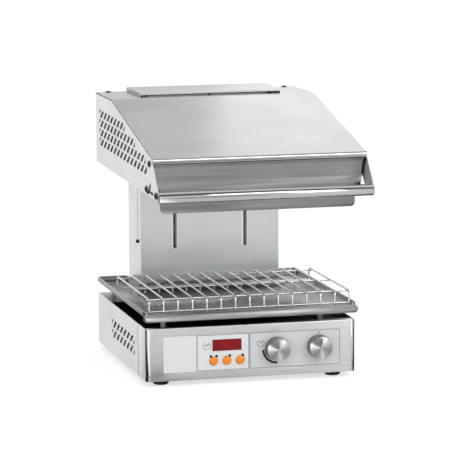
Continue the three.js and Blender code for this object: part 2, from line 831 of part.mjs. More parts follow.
const column = group(appliance);
piece(column, 'column_casing', columnCasing(), 'steel');
piece(column, 'column_rear_cover',
  block(-columnHalf, columnHalf, baseDepth - sheet, baseDepth, columnFoot, columnTop - sheet - gap), 'steel');
piece(column, 'column_cap',
  block(-columnHalf, columnHalf, columnFront, baseDepth, columnTop - sheet, columnTop), 'steel');
piece(column, 'foot_guard', footGuard(), 'steel');
const guideX = columnHalf - guideInset;
for (const [x, side] of [[-guideX, 'left'], [guideX, 'right']]) {
  const rod = barZ(guideRadius, columnFoot, columnTop - sheet - gap, x, columnMiddle);
  piece(column, `guide_rod_${side}`, rod, 'polished');
}
const springFoot = sheet + gap;
const springProfile = [
  [0, springFoot], [springRadius, springFoot], [springRadius, springTop], [springBore, springTop],
  [springBore, springFoot + springBase], [0, springFoot + springBase],
];
piece(column, 'gas_spring_cylinder', turned(springProfile, midRoundSides), 'black', [0, columnMiddle, 0]);
const stopSide = baseHeight + sideSlotRise;
const stopPin = barX(sideSlotWidth, -columnHalf - sheet * 2, -columnHalf - gap,
  columnFront + sideSlotSetback, stopSide + sideSlotWidth, smallRoundSides);
piece(column, 'stop_pin', stopPin, 'black');

// Posts that carry the tray: two from the recess floor, two from the rear deck
const traySeat = trayBottom - gap;
for (const [x, side] of [[-1, 'left'], [1, 'right']]) {
  const frontPost = barZ(postRadius, recessFloor + sheet + gap, traySeat,
    x * (halfWidth - frontPostInset), frontPostSetback, smallRoundSides);
  const rearPost = barZ(postRadius, baseHeight + gap, traySeat,
    x * ((trayHalf + notchHalf) / 2 + rearPostOffset), baseDepth - rearPostInset, smallRoundSides);
  piece(base, `tray_post_front_${side}`, frontPost, 'polished');
  piece(base, `tray_post_rear_${side}`, rearPost, 'polished');
}

// Drip tray: a pressed pan with a notch round the column and a rounded grip along its front edge

function trayOutline(inset) {
  const side = trayHalf - inset;
  const front = inset - trayFront;
  const rear = baseDepth - trayRearGap - inset;
  const notchSide = notchHalf + inset;
  const notchFront = columnFront - trayNotchFrontGap - inset;
  const corner = trayFrontCorner - inset;
  const ear = (trayHalf - notchHalf) * earCornerShare;
  return roundedLoop([
    [-side, front, corner], [side, front, corner], [side, rear, ear], [notchSide, rear, ear],
    [notchSide, notchFront, ear], [-notchSide, notchFront, ear], [-notchSide, rear, ear],
    [-side, rear, ear],
  ]);
}

// The wall's section as shares of the tray's height: out and up to the rim, over it and down inside
const trayFloorShare = 0.09;
const trayWallShares = [
  [0.56, 0], [0.04, 0.5], [0, 0.56], [0, 0.92], [0.08, 1],
  [0.16, 1], [0.22, 0.92], [0.24, 0.55], [0.62, trayFloorShare],
];
const trayFloor = trayBottom + trayFloorShare * trayHeight;
const trayLevels = trayWallShares.map(([inward, upward]) => [
  inward * trayHeight, trayBottom + upward * trayHeight,
]);

// The front wall stops at the top of the grip.
function dripTray() {
  const gripZ = baseHeight + gripRise;
  const half = halfWidth + gripOverhang;
  const gripProfile = [
    [0, -half], [gripRadius - gripEnd, -half], [gripRadius, gripEnd - half],
    [gripRadius, half - gripEnd], [gripRadius - gripEnd, half], [0, half],
  ];
  const grip = turned(gripProfile, midRoundSides).rotateY(Math.PI / 2).translate(0, 0, gripZ);
  const reach = trayHalf + overrun;
  const aboveGrip = block(
    -reach, reach, -trayFront - overrun, overrun, gripZ + gripRadius - gap, trayTop + overrun);
  return join(cut(pressedPan(trayOutline, trayLevels), aboveGrip), grip);
}

const tray = group(appliance);
piece(tray, 'drip_tray', dripTray(), 'polished');

// Wire rack: long wires bent down at both ends into legs, welded to five cross wires

function longWire(x) {
  const foot = trayFloor + gap;
  const up = new THREE.Vector3(0, 0, 1);
  const forward = new THREE.Vector3(0, -1, 0);
  const backward = new THREE.Vector3(0, 1, 0);
  const bendHeight = rackTopHeight - wireBend;
  const frontCentre = new THREE.Vector3(x, rackFront + wireBend, bendHeight);
  const rearCentre = new THREE.Vector3(x, rackRear - wireBend, bendHeight);
  return bentTube([
    new THREE.Vector3(x, rackFront, foot),
    ...arcPoints(frontCentre, forward, up, wireBend, Math.PI / 2, bendSteps),
    ...arcPoints(rearCentre, up, backward, wireBend, Math.PI / 2, bendSteps),
    new THREE.Vector3(x, rackRear, foot),
  ], wireRadius, wireSides);
}

function wireRack() {
  const pitch = rackHalfWidth * 2 / (rackWires - 1);
  const beside = wireRadius * wireWeldShare;
  const under = rackTopHeight - beside;
  const crossPlaces = [
    [rackFront + frontCrossSetback + wireBend, under], [rackFront + beside, rackLowHeight],
    [(rackFront + rackRear) / 2, under],
    [rackRear - frontCrossSetback - wireBend, under], [rackRear - beside, rackLowHeight],
  ];
  const end = rackHalfWidth + wireRadius;
  const longs = Array.from({ length: rackWires }, (_, wire) => longWire(wire * pitch - rackHalfWidth));
  const crosses = crossPlaces.map(([y, z]) => barX(wireRadius, -end, end, y, z, wireSides));
  return join(...longs, ...crosses);
}

piece(tray, 'wire_rack', wireRack(), 'polished');

// Hood: side sheets, bent cover, bars, shield, inner back, reflector, elements and the lift carriage
const hood = group(appliance);
const clearBar = barX(barRadius + gap, -halfWidth - overrun, halfWidth + overrun, -barReach, barHeight);
const clearHandle = barX(
  handleRadius + gap, -halfWidth - overrun, halfWidth + overrun, -handleReach, handleHeight);

function hoodSide(side) {
  const shape = shapeOf([
    [-chinReach, edgeAt(-chinReach)], [hoodRear, edgeAt(hoodRear)], [hoodRear, hoodTop], [hoodBend, hoodTop],
    [-noseReach, hoodTop - noseDrop], [-tipReach, hoodBottom + tipRise],
  ]);
  shape.holes.push(new THREE.Path([
    new THREE.Vector2(-windowApexReach, hoodBottom + windowApexRise),
    new THREE.Vector2(-windowFrontReach, hoodBottom + windowSillRise),
    new THREE.Vector2(-windowRearReach, hoodBottom + windowSillRise),
  ]));
  for (let row = 0; row < hoodVentRows; row += 1) {
    const height = hoodBottom + hoodVentRise + row * hoodVentRowPitch;
    const slantedLine = hoodBend - (hoodTop - height - ventHeight / 2) / noseSlope;
    const front = Math.max(slantedLine + hoodVentMargin, -hoodVentFrontLimit);
    shape.holes.push(...ventRow(front, hoodRear - hoodVentRearInset, height, edgeSlope));
  }
  const outer = side * halfWidth;
  const inner = side * (halfWidth - sheet);
  const flange = side * (halfWidth - sideFlange);
  const [left, right] = side < 0 ? [outer, inner] : [inner, outer];
  const [flangeLeft, flangeRight] = side < 0 ? [outer, flange] : [flange, outer];
  const wall = alongX(shape, left, right);
  const flangeFront = sideFlange - sideFlangeSetback;
  const bottomFlange = alongX(shapeOf([
    [flangeFront, edgeAt(flangeFront)], [hoodRear, edgeAt(hoodRear)],
    [hoodRear, edgeAt(hoodRear) + sheet], [flangeFront, edgeAt(flangeFront) + sheet],
  ]), flangeLeft, flangeRight);
  const rearFlange = block(flangeLeft, flangeRight,
    hoodRear - sheet, hoodRear, edgeAt(hoodRear), hoodTop - coverRearFlange - gap);
  return cut(join(wall, bottomFlange, rearFlange), clearBar, clearHandle);
}

function topCover() {
  const slope = Math.atan(noseSlope);
  const drop = sheet / Math.cos(slope);
  const lineAt = (y) => hoodTop - (hoodBend - y) * noseSlope;
  const innerBend = hoodBend + sheet * Math.tan(slope / 2);
  const profile = shapeOf([
    [hoodRear, hoodTop - coverRearFlange], [hoodRear, hoodTop], [hoodBend, hoodTop],
    [-barReach, lineAt(-barReach)], [-barReach, lineAt(-barReach) - drop],
    [innerBend, hoodTop - sheet], [hoodRear - sheet, hoodTop - sheet],
    [hoodRear - sheet, hoodTop - coverRearFlange],
  ]);
  const half = cowlWidth / 2 - exhaustInset;
  const exhaust = block(-half, half,
    hoodBend + exhaustFrontInset, hoodRear - exhaustRearInset, hoodTop - overrun, hoodTop + overrun);
  return cut(alongX(profile, -innerHalf, innerHalf), exhaust, clearBar);
}

// The shield curves inwards behind the handle and ends in a narrower straight lip with round corners.
function frontShield() {
  const topZ = barHeight - barRadius;
  const curve = new THREE.QuadraticBezierCurve(
    new THREE.Vector2(-shieldTopReach, topZ),
    new THREE.Vector2(-shieldKneeReach, topZ - shieldKneeDrop),
    new THREE.Vector2(-shieldLowReach, shieldLowHeight));
  const back = curve.getPoints(shieldSteps);
  const front = back.map((point) => [point.x - shieldSheet, point.y]);
  const upper = alongX(
    shapeOf([...back.map((point) => [point.x, point.y]), ...front.reverse()]),
    shieldSideGap - halfWidth, halfWidth - shieldSideGap);
  const half = halfWidth - lipInset;
  const lipBottom = hoodBottom - lipDrop;
  const lip = new THREE.Shape();
  lip.moveTo(-half, shieldLowHeight + sheet);
  lip.lineTo(-half, lipBottom + lipCorner);
  lip.absarc(lipCorner - half, lipBottom + lipCorner, lipCorner, Math.PI, Math.PI * 1.5, false);
  lip.absarc(half - lipCorner, lipBottom + lipCorner, lipCorner, Math.PI * 1.5, Math.PI * 2, false);
  lip.lineTo(half, shieldLowHeight + sheet);
  const lower = alongY(lip, -shieldLowReach - shieldSheet, -shieldLowReach);
  return cut(join(upper, lower), clearBar);
}

piece(hood, 'hood_left_side', hoodSide(-1), 'steel');
piece(hood, 'hood_right_side', hoodSide(1), 'steel');
piece(hood, 'top_cover', topCover(), 'steel');
piece(hood, 'front_shield', frontShield(), 'inner');
piece(hood, 'upper_bar', barX(barRadius, -halfWidth, halfWidth, -barReach, barHeight), 'polished');

const handleProfile = [
  [0, -halfWidth], [handleRadius - handleEdge, -halfWidth], [handleRadius, handleEdge - halfWidth],
  [handleRadius, halfWidth - handleEdge], [handleRadius - handleEdge, halfWidth], [0, halfWidth],
];
const handle = turned(handleProfile).rotateY(Math.PI / 2);
piece(hood, 'handle_bar', handle, 'polished', [0, -handleReach, handleHeight]);

const innerBackLow = edgeAt(innerBack + sheet) + sheet + gap;
piece(hood, 'hood_inner_back', block(
  -innerHalf, innerHalf, innerBack, innerBack + sheet, innerBackLow, hoodTop - innerBackDrop), 'inner');

// Reflector: an open box, mouth down, between the shield and the inner back
const reflectorFront = gap - shieldLowReach;
const reflectorRear = innerBack - gap;
const reflectorBottom = edgeAt(reflectorRear) + reflectorRise;
const reflectorTop = reflectorBottom + reflectorHeight;

function reflectorOutline(inset) {
  const half = reflectorHalf - inset;
  const front = reflectorFront + inset;
  const rear = reflectorRear - inset;
  return [[-half, front], [half, front], [half, rear], [-half, rear]]
    .map(([x, y]) => new THREE.Vector2(x, y));
}

piece(hood, 'reflector', pressedPan(reflectorOutline, [
  [reflectorSlope + shieldSheet, reflectorTop - shieldSheet], [shieldSheet, reflectorBottom],
  [0, reflectorBottom], [reflectorSlope, reflectorTop],
]), 'inner');

const holderRear = reflectorRear - reflectorSlope - holderBackGap;
const holderFront = holderRear - holderDepth;
const holderBottom = reflectorBottom + holderRise;
const holderHalf = reflectorHalf - holderInset;
piece(hood, 'element_holder', block(
  -holderHalf, holderHalf, holderFront, holderRear,
  holderBottom, Math.max(holderBottom + holderHeight, reflectorTop - shieldSheet - gap)), 'ceramic');

const elementFront = reflectorFront + elementFrontMargin;
const elementRear = holderFront - gap;

function heatingElement(x) {
  const bend = elementLegSpacing / 2;
  const left = new THREE.Vector3(-1, 0, 0);
  const forward = new THREE.Vector3(0, -1, 0);
  const centre = new THREE.Vector3(x, elementFront + bend, elementHeight);
  return bentTube([
    new THREE.Vector3(x - bend, elementRear, elementHeight),
    ...arcPoints(centre, left, forward, bend, Math.PI, uBendSteps),
    new THREE.Vector3(x + bend, elementRear, elementHeight),
  ], elementRadius, smallRoundSides);
}

['left', 'middle', 'right'].slice(0, elementCount).forEach((name, index) => {
  const x = (index - (elementCount - 1) / 2) * elementPitch;
  piece(hood, `${name}_element`, heatingElement(x), 'element');
});

// Vent cowl: a plate with folded edges, open to the front, on three standoffs

function ventCowl() {
  const half = cowlWidth / 2;
  const foot = hoodTop + gap;
  const top = hoodTop + cowlHeight;
  const rear = hoodRear - cowlRearInset;
  const bridge = shapeOf([
    [-half, foot], [cowlSheet - half, foot], [cowlSheet - half, top - cowlSheet],
    [half - cowlSheet, top - cowlSheet], [half - cowlSheet, foot], [half, foot],
    [half, top], [-half, top],
  ]);
  return join(
    alongY(bridge, cowlFront, rear),
    block(-half, half, rear - cowlSheet, rear, foot, top),
    block(-half, half, cowlFront, cowlFront + cowlSheet, top - cowlLip, top));
}

piece(hood, 'vent_cowl', ventCowl(), 'steel');
['left', 'middle', 'right'].forEach((name, index) => {
  const bottom = hoodTop + gap;
  const top = hoodTop + cowlHeight - cowlSheet - gap;
  const standoff = barZ(standoffRadius, bottom, top, (index - 1) * (cowlWidth / 2 - standoffInset),
    cowlFront + standoffSetback, smallRoundSides);
  piece(hood, `${name}_standoff`, standoff, 'polished');
});

// Lift carriage: a crosshead with two guide bores, and two arms that reach out through the slots

function liftCarriage() {
  const front = columnMiddle - crossheadDepth / 2;
  const rear = columnMiddle + crossheadDepth / 2;
  const half = columnHalf - crossheadInset;
  const crosshead = block(-half, half, front, rear, carriageBottom, carriageTop);
  const armFront = innerBack + sheet + gap;
  const armTop = hoodBottom + armRise;
  const armRear = columnFront - armStandoff;
  const armBack = Math.min(armFront + armDepth, armRear);
  const armShape = shapeOf([
    [front + sheet, carriageBottom], [front + sheet, carriageTop], [armBack, carriageTop],
    [armBack, armTop], [armFront, armTop], [armFront, carriageBottom],
  ].reverse());
  const arm = (x) => alongX(armShape, x - armThickness / 2, x + armThickness / 2);
  const bore = (x) => barZ(guideRadius + runningGap, carriageBottom - overrun, carriageTop + overrun,
    x, columnMiddle);
  return cut(
    join(crosshead, arm(-slotSpacing / 2), arm(slotSpacing / 2)),
    bore(-guideX), bore(guideX));
}

piece(hood, 'lift_carriage', liftCarriage(), 'inner');
const springRodFoot = springFoot + springBase + springRodGap + hoodTravel;
const springRod = barZ(springRodRadius, springRodFoot, carriageBottom - gap, 0, columnMiddle, smallRoundSides);
piece(hood, 'gas_spring_rod', springRod, 'polished');

// The table is Z = 0 and the middle of the whole depth is Y = 0.
const frontmost = -handleReach - handleRadius;
const rearmost = Math.max(hoodRear, baseDepth + glandLength);
appliance.position.set(0, -(frontmost + rearmost) / 2, footHeight);

export default appliance;
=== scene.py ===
"""A countertop lift grill: a control base, a rear column, a heated hood, a drip tray and a wire rack."""

import json
import math

import bmesh
import bpy
from mathutils import Matrix, Vector

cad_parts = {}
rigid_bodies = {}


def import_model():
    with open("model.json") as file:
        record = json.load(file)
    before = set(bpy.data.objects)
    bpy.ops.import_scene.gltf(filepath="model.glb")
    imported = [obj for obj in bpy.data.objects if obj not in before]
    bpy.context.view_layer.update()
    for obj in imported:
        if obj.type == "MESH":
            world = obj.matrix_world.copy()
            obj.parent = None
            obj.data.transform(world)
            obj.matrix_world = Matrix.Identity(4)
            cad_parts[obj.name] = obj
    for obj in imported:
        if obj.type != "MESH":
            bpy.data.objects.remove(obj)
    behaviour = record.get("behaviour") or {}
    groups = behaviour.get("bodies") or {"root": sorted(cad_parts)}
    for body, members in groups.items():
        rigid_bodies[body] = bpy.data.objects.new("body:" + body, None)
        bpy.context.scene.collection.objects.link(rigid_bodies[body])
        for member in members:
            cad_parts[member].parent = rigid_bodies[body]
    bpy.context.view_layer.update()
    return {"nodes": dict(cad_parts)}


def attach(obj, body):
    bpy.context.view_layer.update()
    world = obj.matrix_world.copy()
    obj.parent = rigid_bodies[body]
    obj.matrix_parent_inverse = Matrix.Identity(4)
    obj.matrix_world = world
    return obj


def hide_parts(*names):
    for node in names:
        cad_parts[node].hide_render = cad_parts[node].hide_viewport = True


for leftover in list(bpy.data.objects):
    bpy.data.objects.remove(leftover)
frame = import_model()
node = frame["nodes"]

# The view.
# The grill stands turned, with its left side and its front towards a long lens a little above it.
# Places are given in millimetres from the middle of the base's front lower edge, as on its drawing.
MM = 0.001
DRAWING_ORIGIN = Vector((0, -155.25, 11))
VIEWPOINT = (-1380.9, -5196.8, 1090.65)
TURN_LEFT = math.radians(-14.56)
LOOK_DOWN = math.radians(8.73)
ROLL = math.radians(-0.24)
SENSOR_WIDTH = 36
FOCAL_LENGTH_IN_PIXELS = 2964.34
PICTURE_WIDTH_IN_PIXELS = 470
FAR_CLIP = 60


def place(x, y, z):
    return (Vector((x, y, z)) + DRAWING_ORIGIN) * MM


backward = Vector((math.sin(TURN_LEFT) * math.cos(LOOK_DOWN),
                   -math.cos(TURN_LEFT) * math.cos(LOOK_DOWN), math.sin(LOOK_DOWN)))
level_right = Vector((math.cos(TURN_LEFT), math.sin(TURN_LEFT), 0))
level_up = backward.cross(level_right)
rightward = math.cos(ROLL) * level_right + math.sin(ROLL) * level_up
upward = math.cos(ROLL) * level_up - math.sin(ROLL) * level_right
viewpoint = place(*VIEWPOINT)
lens = bpy.data.cameras.new("long_lens")
lens.sensor_width = SENSOR_WIDTH
lens.lens = FOCAL_LENGTH_IN_PIXELS * SENSOR_WIDTH / PICTURE_WIDTH_IN_PIXELS
lens.clip_end = FAR_CLIP
camera = bpy.data.objects.new("camera", lens)
bpy.context.collection.objects.link(camera)
camera.matrix_world = Matrix((
    (rightward.x, upward.x, backward.x, viewpoint.x),
    (rightward.y, upward.y, backward.y, viewpoint.y),
    (rightward.z, upward.z, backward.z, viewpoint.z),
    (0, 0, 0, 1)))
bpy.context.scene.camera = camera
bpy.context.scene.view_settings.view_transform = "Standard"


# The studio.
# A white paper floor runs out of sight under a white room, with four soft lamps in front, beside and behind.
# Black felt hung in the room and laid on the paper shows only in the steel, where it makes the dark bands.
HALF_TURN = math.pi
WHITE = (1, 1, 1, 1)
# A Mix node has sockets of the same name for each kind of value, so they are picked by their number.
NUMBER_A, NUMBER_B, COLOUR_A, COLOUR_B = 2, 3, 6, 7
MIXED_COLOUR = 2


def linear(hex_colour):
    shares = [int(hex_colour[start:start + 2], 16) / 255 for start in (1, 3, 5)]
    return tuple(c / 12.92 if c <= 0.04045 else ((c + 0.055) / 1.055) ** 2.4 for c in shares) + (1,)


def add_node(tree, kind, inputs=None, **settings):
    """An input is a value, or the output of another node that it is linked to."""
    new = tree.nodes.new(kind)
    for name, value in settings.items():
        setattr(new, name, value)
    for key, value in (inputs or {}).items():
        if isinstance(value, bpy.types.NodeSocket):
            tree.links.new(value, new.inputs[key])
        else:
            new.inputs[key].default_value = value
    return new


def set_ramp(ramp_node, stops):
    elements = ramp_node.color_ramp.elements
    while len(elements) > 1:
        elements.remove(elements[-1])
    elements[0].position = stops[0][0]
    elements[0].color = (*[stops[0][1]] * 3, 1)
    for position, level in stops[1:]:
        elements.new(position).color = (*[level] * 3, 1)


def per_metre(size):
    """The scale of a pattern whose marks are this many millimetres wide."""
    return 1 / (size * MM)


# The room: its light for rough surfaces, and what polished steel sees of it.
ROOM_LIGHT = (0.72, 0.72, 0.72, 1)
# From level behind the grill (0) over the top (0.5) to level in front (1).
OVERHEAD_STOPS = [(0, 1), (0.09, 1), (0.15, 0.72), (0.22, 0.75), (0.3, 1), (0.54, 1), (0.6, 0.15),
                  (0.77, 0.15), (0.83, 1), (0.95, 1), (1, 0.6)]
# Once round the room: left (0), front (0.25), right (0.5), behind (0.75).
SIDEWAYS_STOPS = [(0, 0.5), (0.03, 0.5), (0.05, 1), (0.19, 1), (0.22, 0.3), (0.26, 0.6), (0.29, 0.6),
                  (0.33, 1), (0.46, 1), (0.475, 0.5), (0.53, 0.5), (0.545, 0.03), (0.66, 0.03), (0.69, 1),
                  (0.82, 1), (0.85, 0.02), (0.97, 0.02), (0.98, 0.5), (1, 0.5)]
# The ramp round the room takes over from the one overhead in low headings to the left and the right.
# It begins and is complete at these shares of a heading's X, and it is complete and ends at these of its Z.
SIDE_BEGINS, SIDE_COMPLETE = 0.3, 0.6
LOW_COMPLETE, LOW_ENDS = 0.15, 0.35
room = bpy.data.worlds.new("white_room")
bpy.context.scene.world = room
room.use_nodes = True
tree = room.node_tree
tree.nodes.clear()
rays = add_node(tree, "ShaderNodeLightPath")
heading = add_node(tree, "ShaderNodeTexCoord")
parts = add_node(tree, "ShaderNodeSeparateXYZ", {0: heading.outputs["Generated"]})
arch = add_node(tree, "ShaderNodeMath", {0: parts.outputs["Z"], 1: parts.outputs["Y"]}, operation="ARCTAN2")
arch_share = add_node(tree, "ShaderNodeMapRange", {"Value": arch.outputs[0], "From Max": HALF_TURN})
overhead = add_node(tree, "ShaderNodeValToRGB", {0: arch_share.outputs[0]})
set_ramp(overhead, OVERHEAD_STOPS)
around = add_node(tree, "ShaderNodeMath", {0: parts.outputs["Y"], 1: parts.outputs["X"]}, operation="ARCTAN2")
around_share = add_node(tree, "ShaderNodeMapRange", {
    "Value": around.outputs[0], "From Min": -HALF_TURN, "From Max": HALF_TURN})
sideways = add_node(tree, "ShaderNodeValToRGB", {0: around_share.outputs[0]})
set_ramp(sideways, SIDEWAYS_STOPS)
outward = add_node(tree, "ShaderNodeMath", {0: parts.outputs["X"]}, operation="ABSOLUTE")
to_side = add_node(tree, "ShaderNodeMapRange", {
    "Value": outward.outputs[0], "From Min": SIDE_BEGINS, "From Max": SIDE_COMPLETE})
low = add_node(tree, "ShaderNodeMapRange", {
    "Value": parts.outputs["Z"], "From Min": LOW_COMPLETE, "From Max": LOW_ENDS, "To Min": 1, "To Max": 0})
low_side = add_node(tree, "ShaderNodeMath", {0: to_side.outputs[0], 1: low.outputs[0]}, operation="MULTIPLY")
mirrored = add_node(tree, "ShaderNodeMix", {
    0: low_side.outputs[0], COLOUR_A: overhead.outputs[0], COLOUR_B: sideways.outputs[0]}, data_type="RGBA")
lit = add_node(tree, "ShaderNodeMix", {
    0: rays.outputs["Is Glossy Ray"], COLOUR_A: ROOM_LIGHT, COLOUR_B: mirrored.outputs[MIXED_COLOUR]},
    data_type="RGBA")
seen = add_node(tree, "ShaderNodeMath", {
    0: rays.outputs["Is Camera Ray"], 1: rays.outputs["Is Transmission Ray"]}, operation="MAXIMUM")
shown = add_node(tree, "ShaderNodeMix", {
    0: seen.outputs[0], COLOUR_A: lit.outputs[MIXED_COLOUR], COLOUR_B: WHITE}, data_type="RGBA")
air = add_node(tree, "ShaderNodeBackground", {"Color": shown.outputs[MIXED_COLOUR], "Strength": 1})
add_node(tree, "ShaderNodeOutputWorld", {"Surface": air.outputs[0]})

# The paper: its fibres are drawn about a millimetre wide, because real ones would not show.
PAPER_REACH = 9
PAPER_FIBRE = 1.111
PAPER_TONES = (0.55, 0.57)
PAPER_GLOW = 0.62
MIRRORED_GLOW = 0.4
# The felt lies in rays from the base's two front corners: behind (0.25), beside (0.5), in front (0.75).
CORNER_X, CORNER_Y = 0.19, -0.15
LEFT_FELT_STOPS = [(0, 1), (0.335, 1), (0.35, 0.02), (0.485, 0.02), (0.495, 0.5), (0.515, 0.5), (0.54, 1),
                   (0.59, 1), (0.61, 2), (0.67, 2), (0.69, 1)]
RIGHT_FELT_STOPS = [(0, 1), (0.32, 1), (0.345, 0.03), (0.465, 0.03), (0.48, 0.6), (0.53, 0.6), (0.56, 1)]
# Far in front, the mirrored floor is dimmed on the left and in the middle, and brighter on the right.
FADE_BEGINS_Y, FADED_Y = -0.8, -1.3
LEFT_FADE_X, RIGHT_FADE_X = 0.25, 0.7
LEFT_FADE, RIGHT_FADE = 0.5, 1.12
paper = bpy.data.meshes.new("paper_floor")
paper.from_pydata([(-PAPER_REACH, -PAPER_REACH, 0), (PAPER_REACH, -PAPER_REACH, 0),
                   (PAPER_REACH, PAPER_REACH, 0), (-PAPER_REACH, PAPER_REACH, 0)], [], [(0, 1, 2, 3)])
floor = bpy.data.objects.new("paper_floor", paper)
bpy.context.collection.objects.link(floor)
matt_paper = bpy.data.materials.new("matt_white_paper")
matt_paper.use_nodes = True
tree = matt_paper.node_tree
tree.nodes.clear()
rays = add_node(tree, "ShaderNodeLightPath")
spot = add_node(tree, "ShaderNodeTexCoord")
fibres = add_node(tree, "ShaderNodeTexNoise", {
    0: spot.outputs["Object"], "Scale": per_metre(PAPER_FIBRE), "Detail": 2})
tone = add_node(tree, "ShaderNodeMapRange", {
    "Value": fibres.outputs[0], "To Min": PAPER_TONES[0], "To Max": PAPER_TONES[1]})
ground = add_node(tree, "ShaderNodeSeparateXYZ", {0: spot.outputs["Object"]})
off_middle = add_node(tree, "ShaderNodeMath", {0: ground.outputs["X"]}, operation="ABSOLUTE")
aside = add_node(tree, "ShaderNodeMath", {0: off_middle.outputs[0], 1: CORNER_X}, operation="SUBTRACT")
ahead = add_node(tree, "ShaderNodeMath", {0: CORNER_Y, 1: ground.outputs["Y"]}, operation="SUBTRACT")
bearing = add_node(tree, "ShaderNodeMath", {0: ahead.outputs[0], 1: aside.outputs[0]}, operation="ARCTAN2")
bearing_share = add_node(tree, "ShaderNodeMapRange", {
    "Value": bearing.outputs[0], "From Min": -HALF_TURN, "From Max": HALF_TURN})
left_felt = add_node(tree, "ShaderNodeValToRGB", {0: bearing_share.outputs[0]})
set_ramp(left_felt, LEFT_FELT_STOPS)
right_felt = add_node(tree, "ShaderNodeValToRGB", {0: bearing_share.outputs[0]})
set_ramp(right_felt, RIGHT_FELT_STOPS)
to_right = add_node(tree, "ShaderNodeMath", {0: ground.outputs["X"], 1: 0}, operation="GREATER_THAN")
either_felt = add_node(tree, "ShaderNodeMix", {
    0: to_right.outputs[0], COLOUR_A: left_felt.outputs[0], COLOUR_B: right_felt.outputs[0]},
    data_type="RGBA")
far_ahead = add_node(tree, "ShaderNodeMapRange", {
    "Value": ground.outputs["Y"], "From Min": FADE_BEGINS_Y, "From Max": FADED_Y})
fade = add_node(tree, "ShaderNodeMapRange", {
    "Value": ground.outputs["X"], "From Min": LEFT_FADE_X, "From Max": RIGHT_FADE_X,
    "To Min": LEFT_FADE, "To Max": RIGHT_FADE})
faded = add_node(tree, "ShaderNodeMix", {0: far_ahead.outputs[0], NUMBER_A: 1, NUMBER_B: fade.outputs[0]})
felt = add_node(tree, "ShaderNodeMath", {
    0: either_felt.outputs[MIXED_COLOUR], 1: faded.outputs[0]}, operation="MULTIPLY")
dimmed = add_node(tree, "ShaderNodeMix", {
    0: rays.outputs["Is Glossy Ray"], NUMBER_A: 1, NUMBER_B: felt.outputs[0]})
seen_tone = add_node(tree, "ShaderNodeMath", {0: tone.outputs[0], 1: dimmed.outputs[0]}, operation="MULTIPLY")
matt = add_node(tree, "ShaderNodeBsdfDiffuse", {"Color": seen_tone.outputs[0]})
seen = add_node(tree, "ShaderNodeMath", {
    0: rays.outputs["Is Camera Ray"], 1: rays.outputs["Is Transmission Ray"]}, operation="MAXIMUM")
lift = add_node(tree, "ShaderNodeMath", {0: seen.outputs[0], 1: PAPER_GLOW}, operation="MULTIPLY")
mirrored_lift = add_node(tree, "ShaderNodeMath", {0: felt.outputs[0], 1: MIRRORED_GLOW}, operation="MULTIPLY")
glow_level = add_node(tree, "ShaderNodeMath", {
    0: rays.outputs["Is Glossy Ray"], 1: mirrored_lift.outputs[0], 2: lift.outputs[0]},
    operation="MULTIPLY_ADD")
glow = add_node(tree, "ShaderNodeEmission", {"Color": WHITE, "Strength": glow_level.outputs[0]})
both = add_node(tree, "ShaderNodeAddShader", {0: matt.outputs[0], 1: glow.outputs[0]})
add_node(tree, "ShaderNodeOutputMaterial", {"Surface": both.outputs[0]})
paper.materials.append(matt_paper)

# The lamps: name, place, what it is turned to, width and height in metres, and watts.
SOFTBOXES = (("front_softbox", (1.15, -1.6, 0.9), (0, -0.1, 0.2), 0.8, 0.8, 8),
             ("rear_softbox", (0.52, 1.0, 1.12), (0.1, 0, 0.45), 0.5, 0.5, 0.9),
             ("left_softbox", (-1.75, -1.85, 0.55), (0, 0, 0.2), 0.7, 0.7, 14),
             ("top_softbox", (0.35, -1.95, 1.5), (0, 0, 0.2), 1.7, 0.6, 11))
for name, spot, target, width, height, watts in SOFTBOXES:
    lamp = bpy.data.lights.new(name, "AREA")
    lamp.shape = "RECTANGLE"
    lamp.size = width
    lamp.size_y = height
    lamp.energy = watts
    stand = bpy.data.objects.new(name, lamp)
    stand.location = spot
    stand.rotation_mode = "QUATERNION"
    stand.rotation_quaternion = (Vector(target) - Vector(spot)).to_track_quat("-Z", "Y")
    bpy.context.collection.objects.link(stand)


# The base.
# The housing is stainless sheet, brushed in one direction, folded round the front corners and welded.
# The brushing makes satin streaks that smear each reflection across them, and the corners are ground bright.
UPRIGHT = (0, 0, 1)
SLANTED = (0, 0.7, 0.7)
# Real grain is about 0.1 mm wide, which would not show, so it is drawn about ten times as coarse.
GRAIN = 1.111
STROKE = 83.33
CLOUD = 111.1
GRAIN_RELIEF, GRAIN_STRENGTH = 0.2, 0.04
# Nearly all of a noise pattern lies between these two values.
NOISE_LOW, NOISE_HIGH = 0.3, 0.7
ROUGHNESS_SPREAD = 0.05
SMEAR = 0.75
SIDE_FACING = 0.98
BEND_FACING = 0.03
LEVEL_FACING = 0.1
# Facets that meet at less than this many degrees are shaded as one surface.
CREASE = 35
SAME_POINT = 0.00001


def new_material(name):
    material = bpy.data.materials.new(name)
    material.use_nodes = True
    material.node_tree.nodes.clear()
    return material, material.node_tree


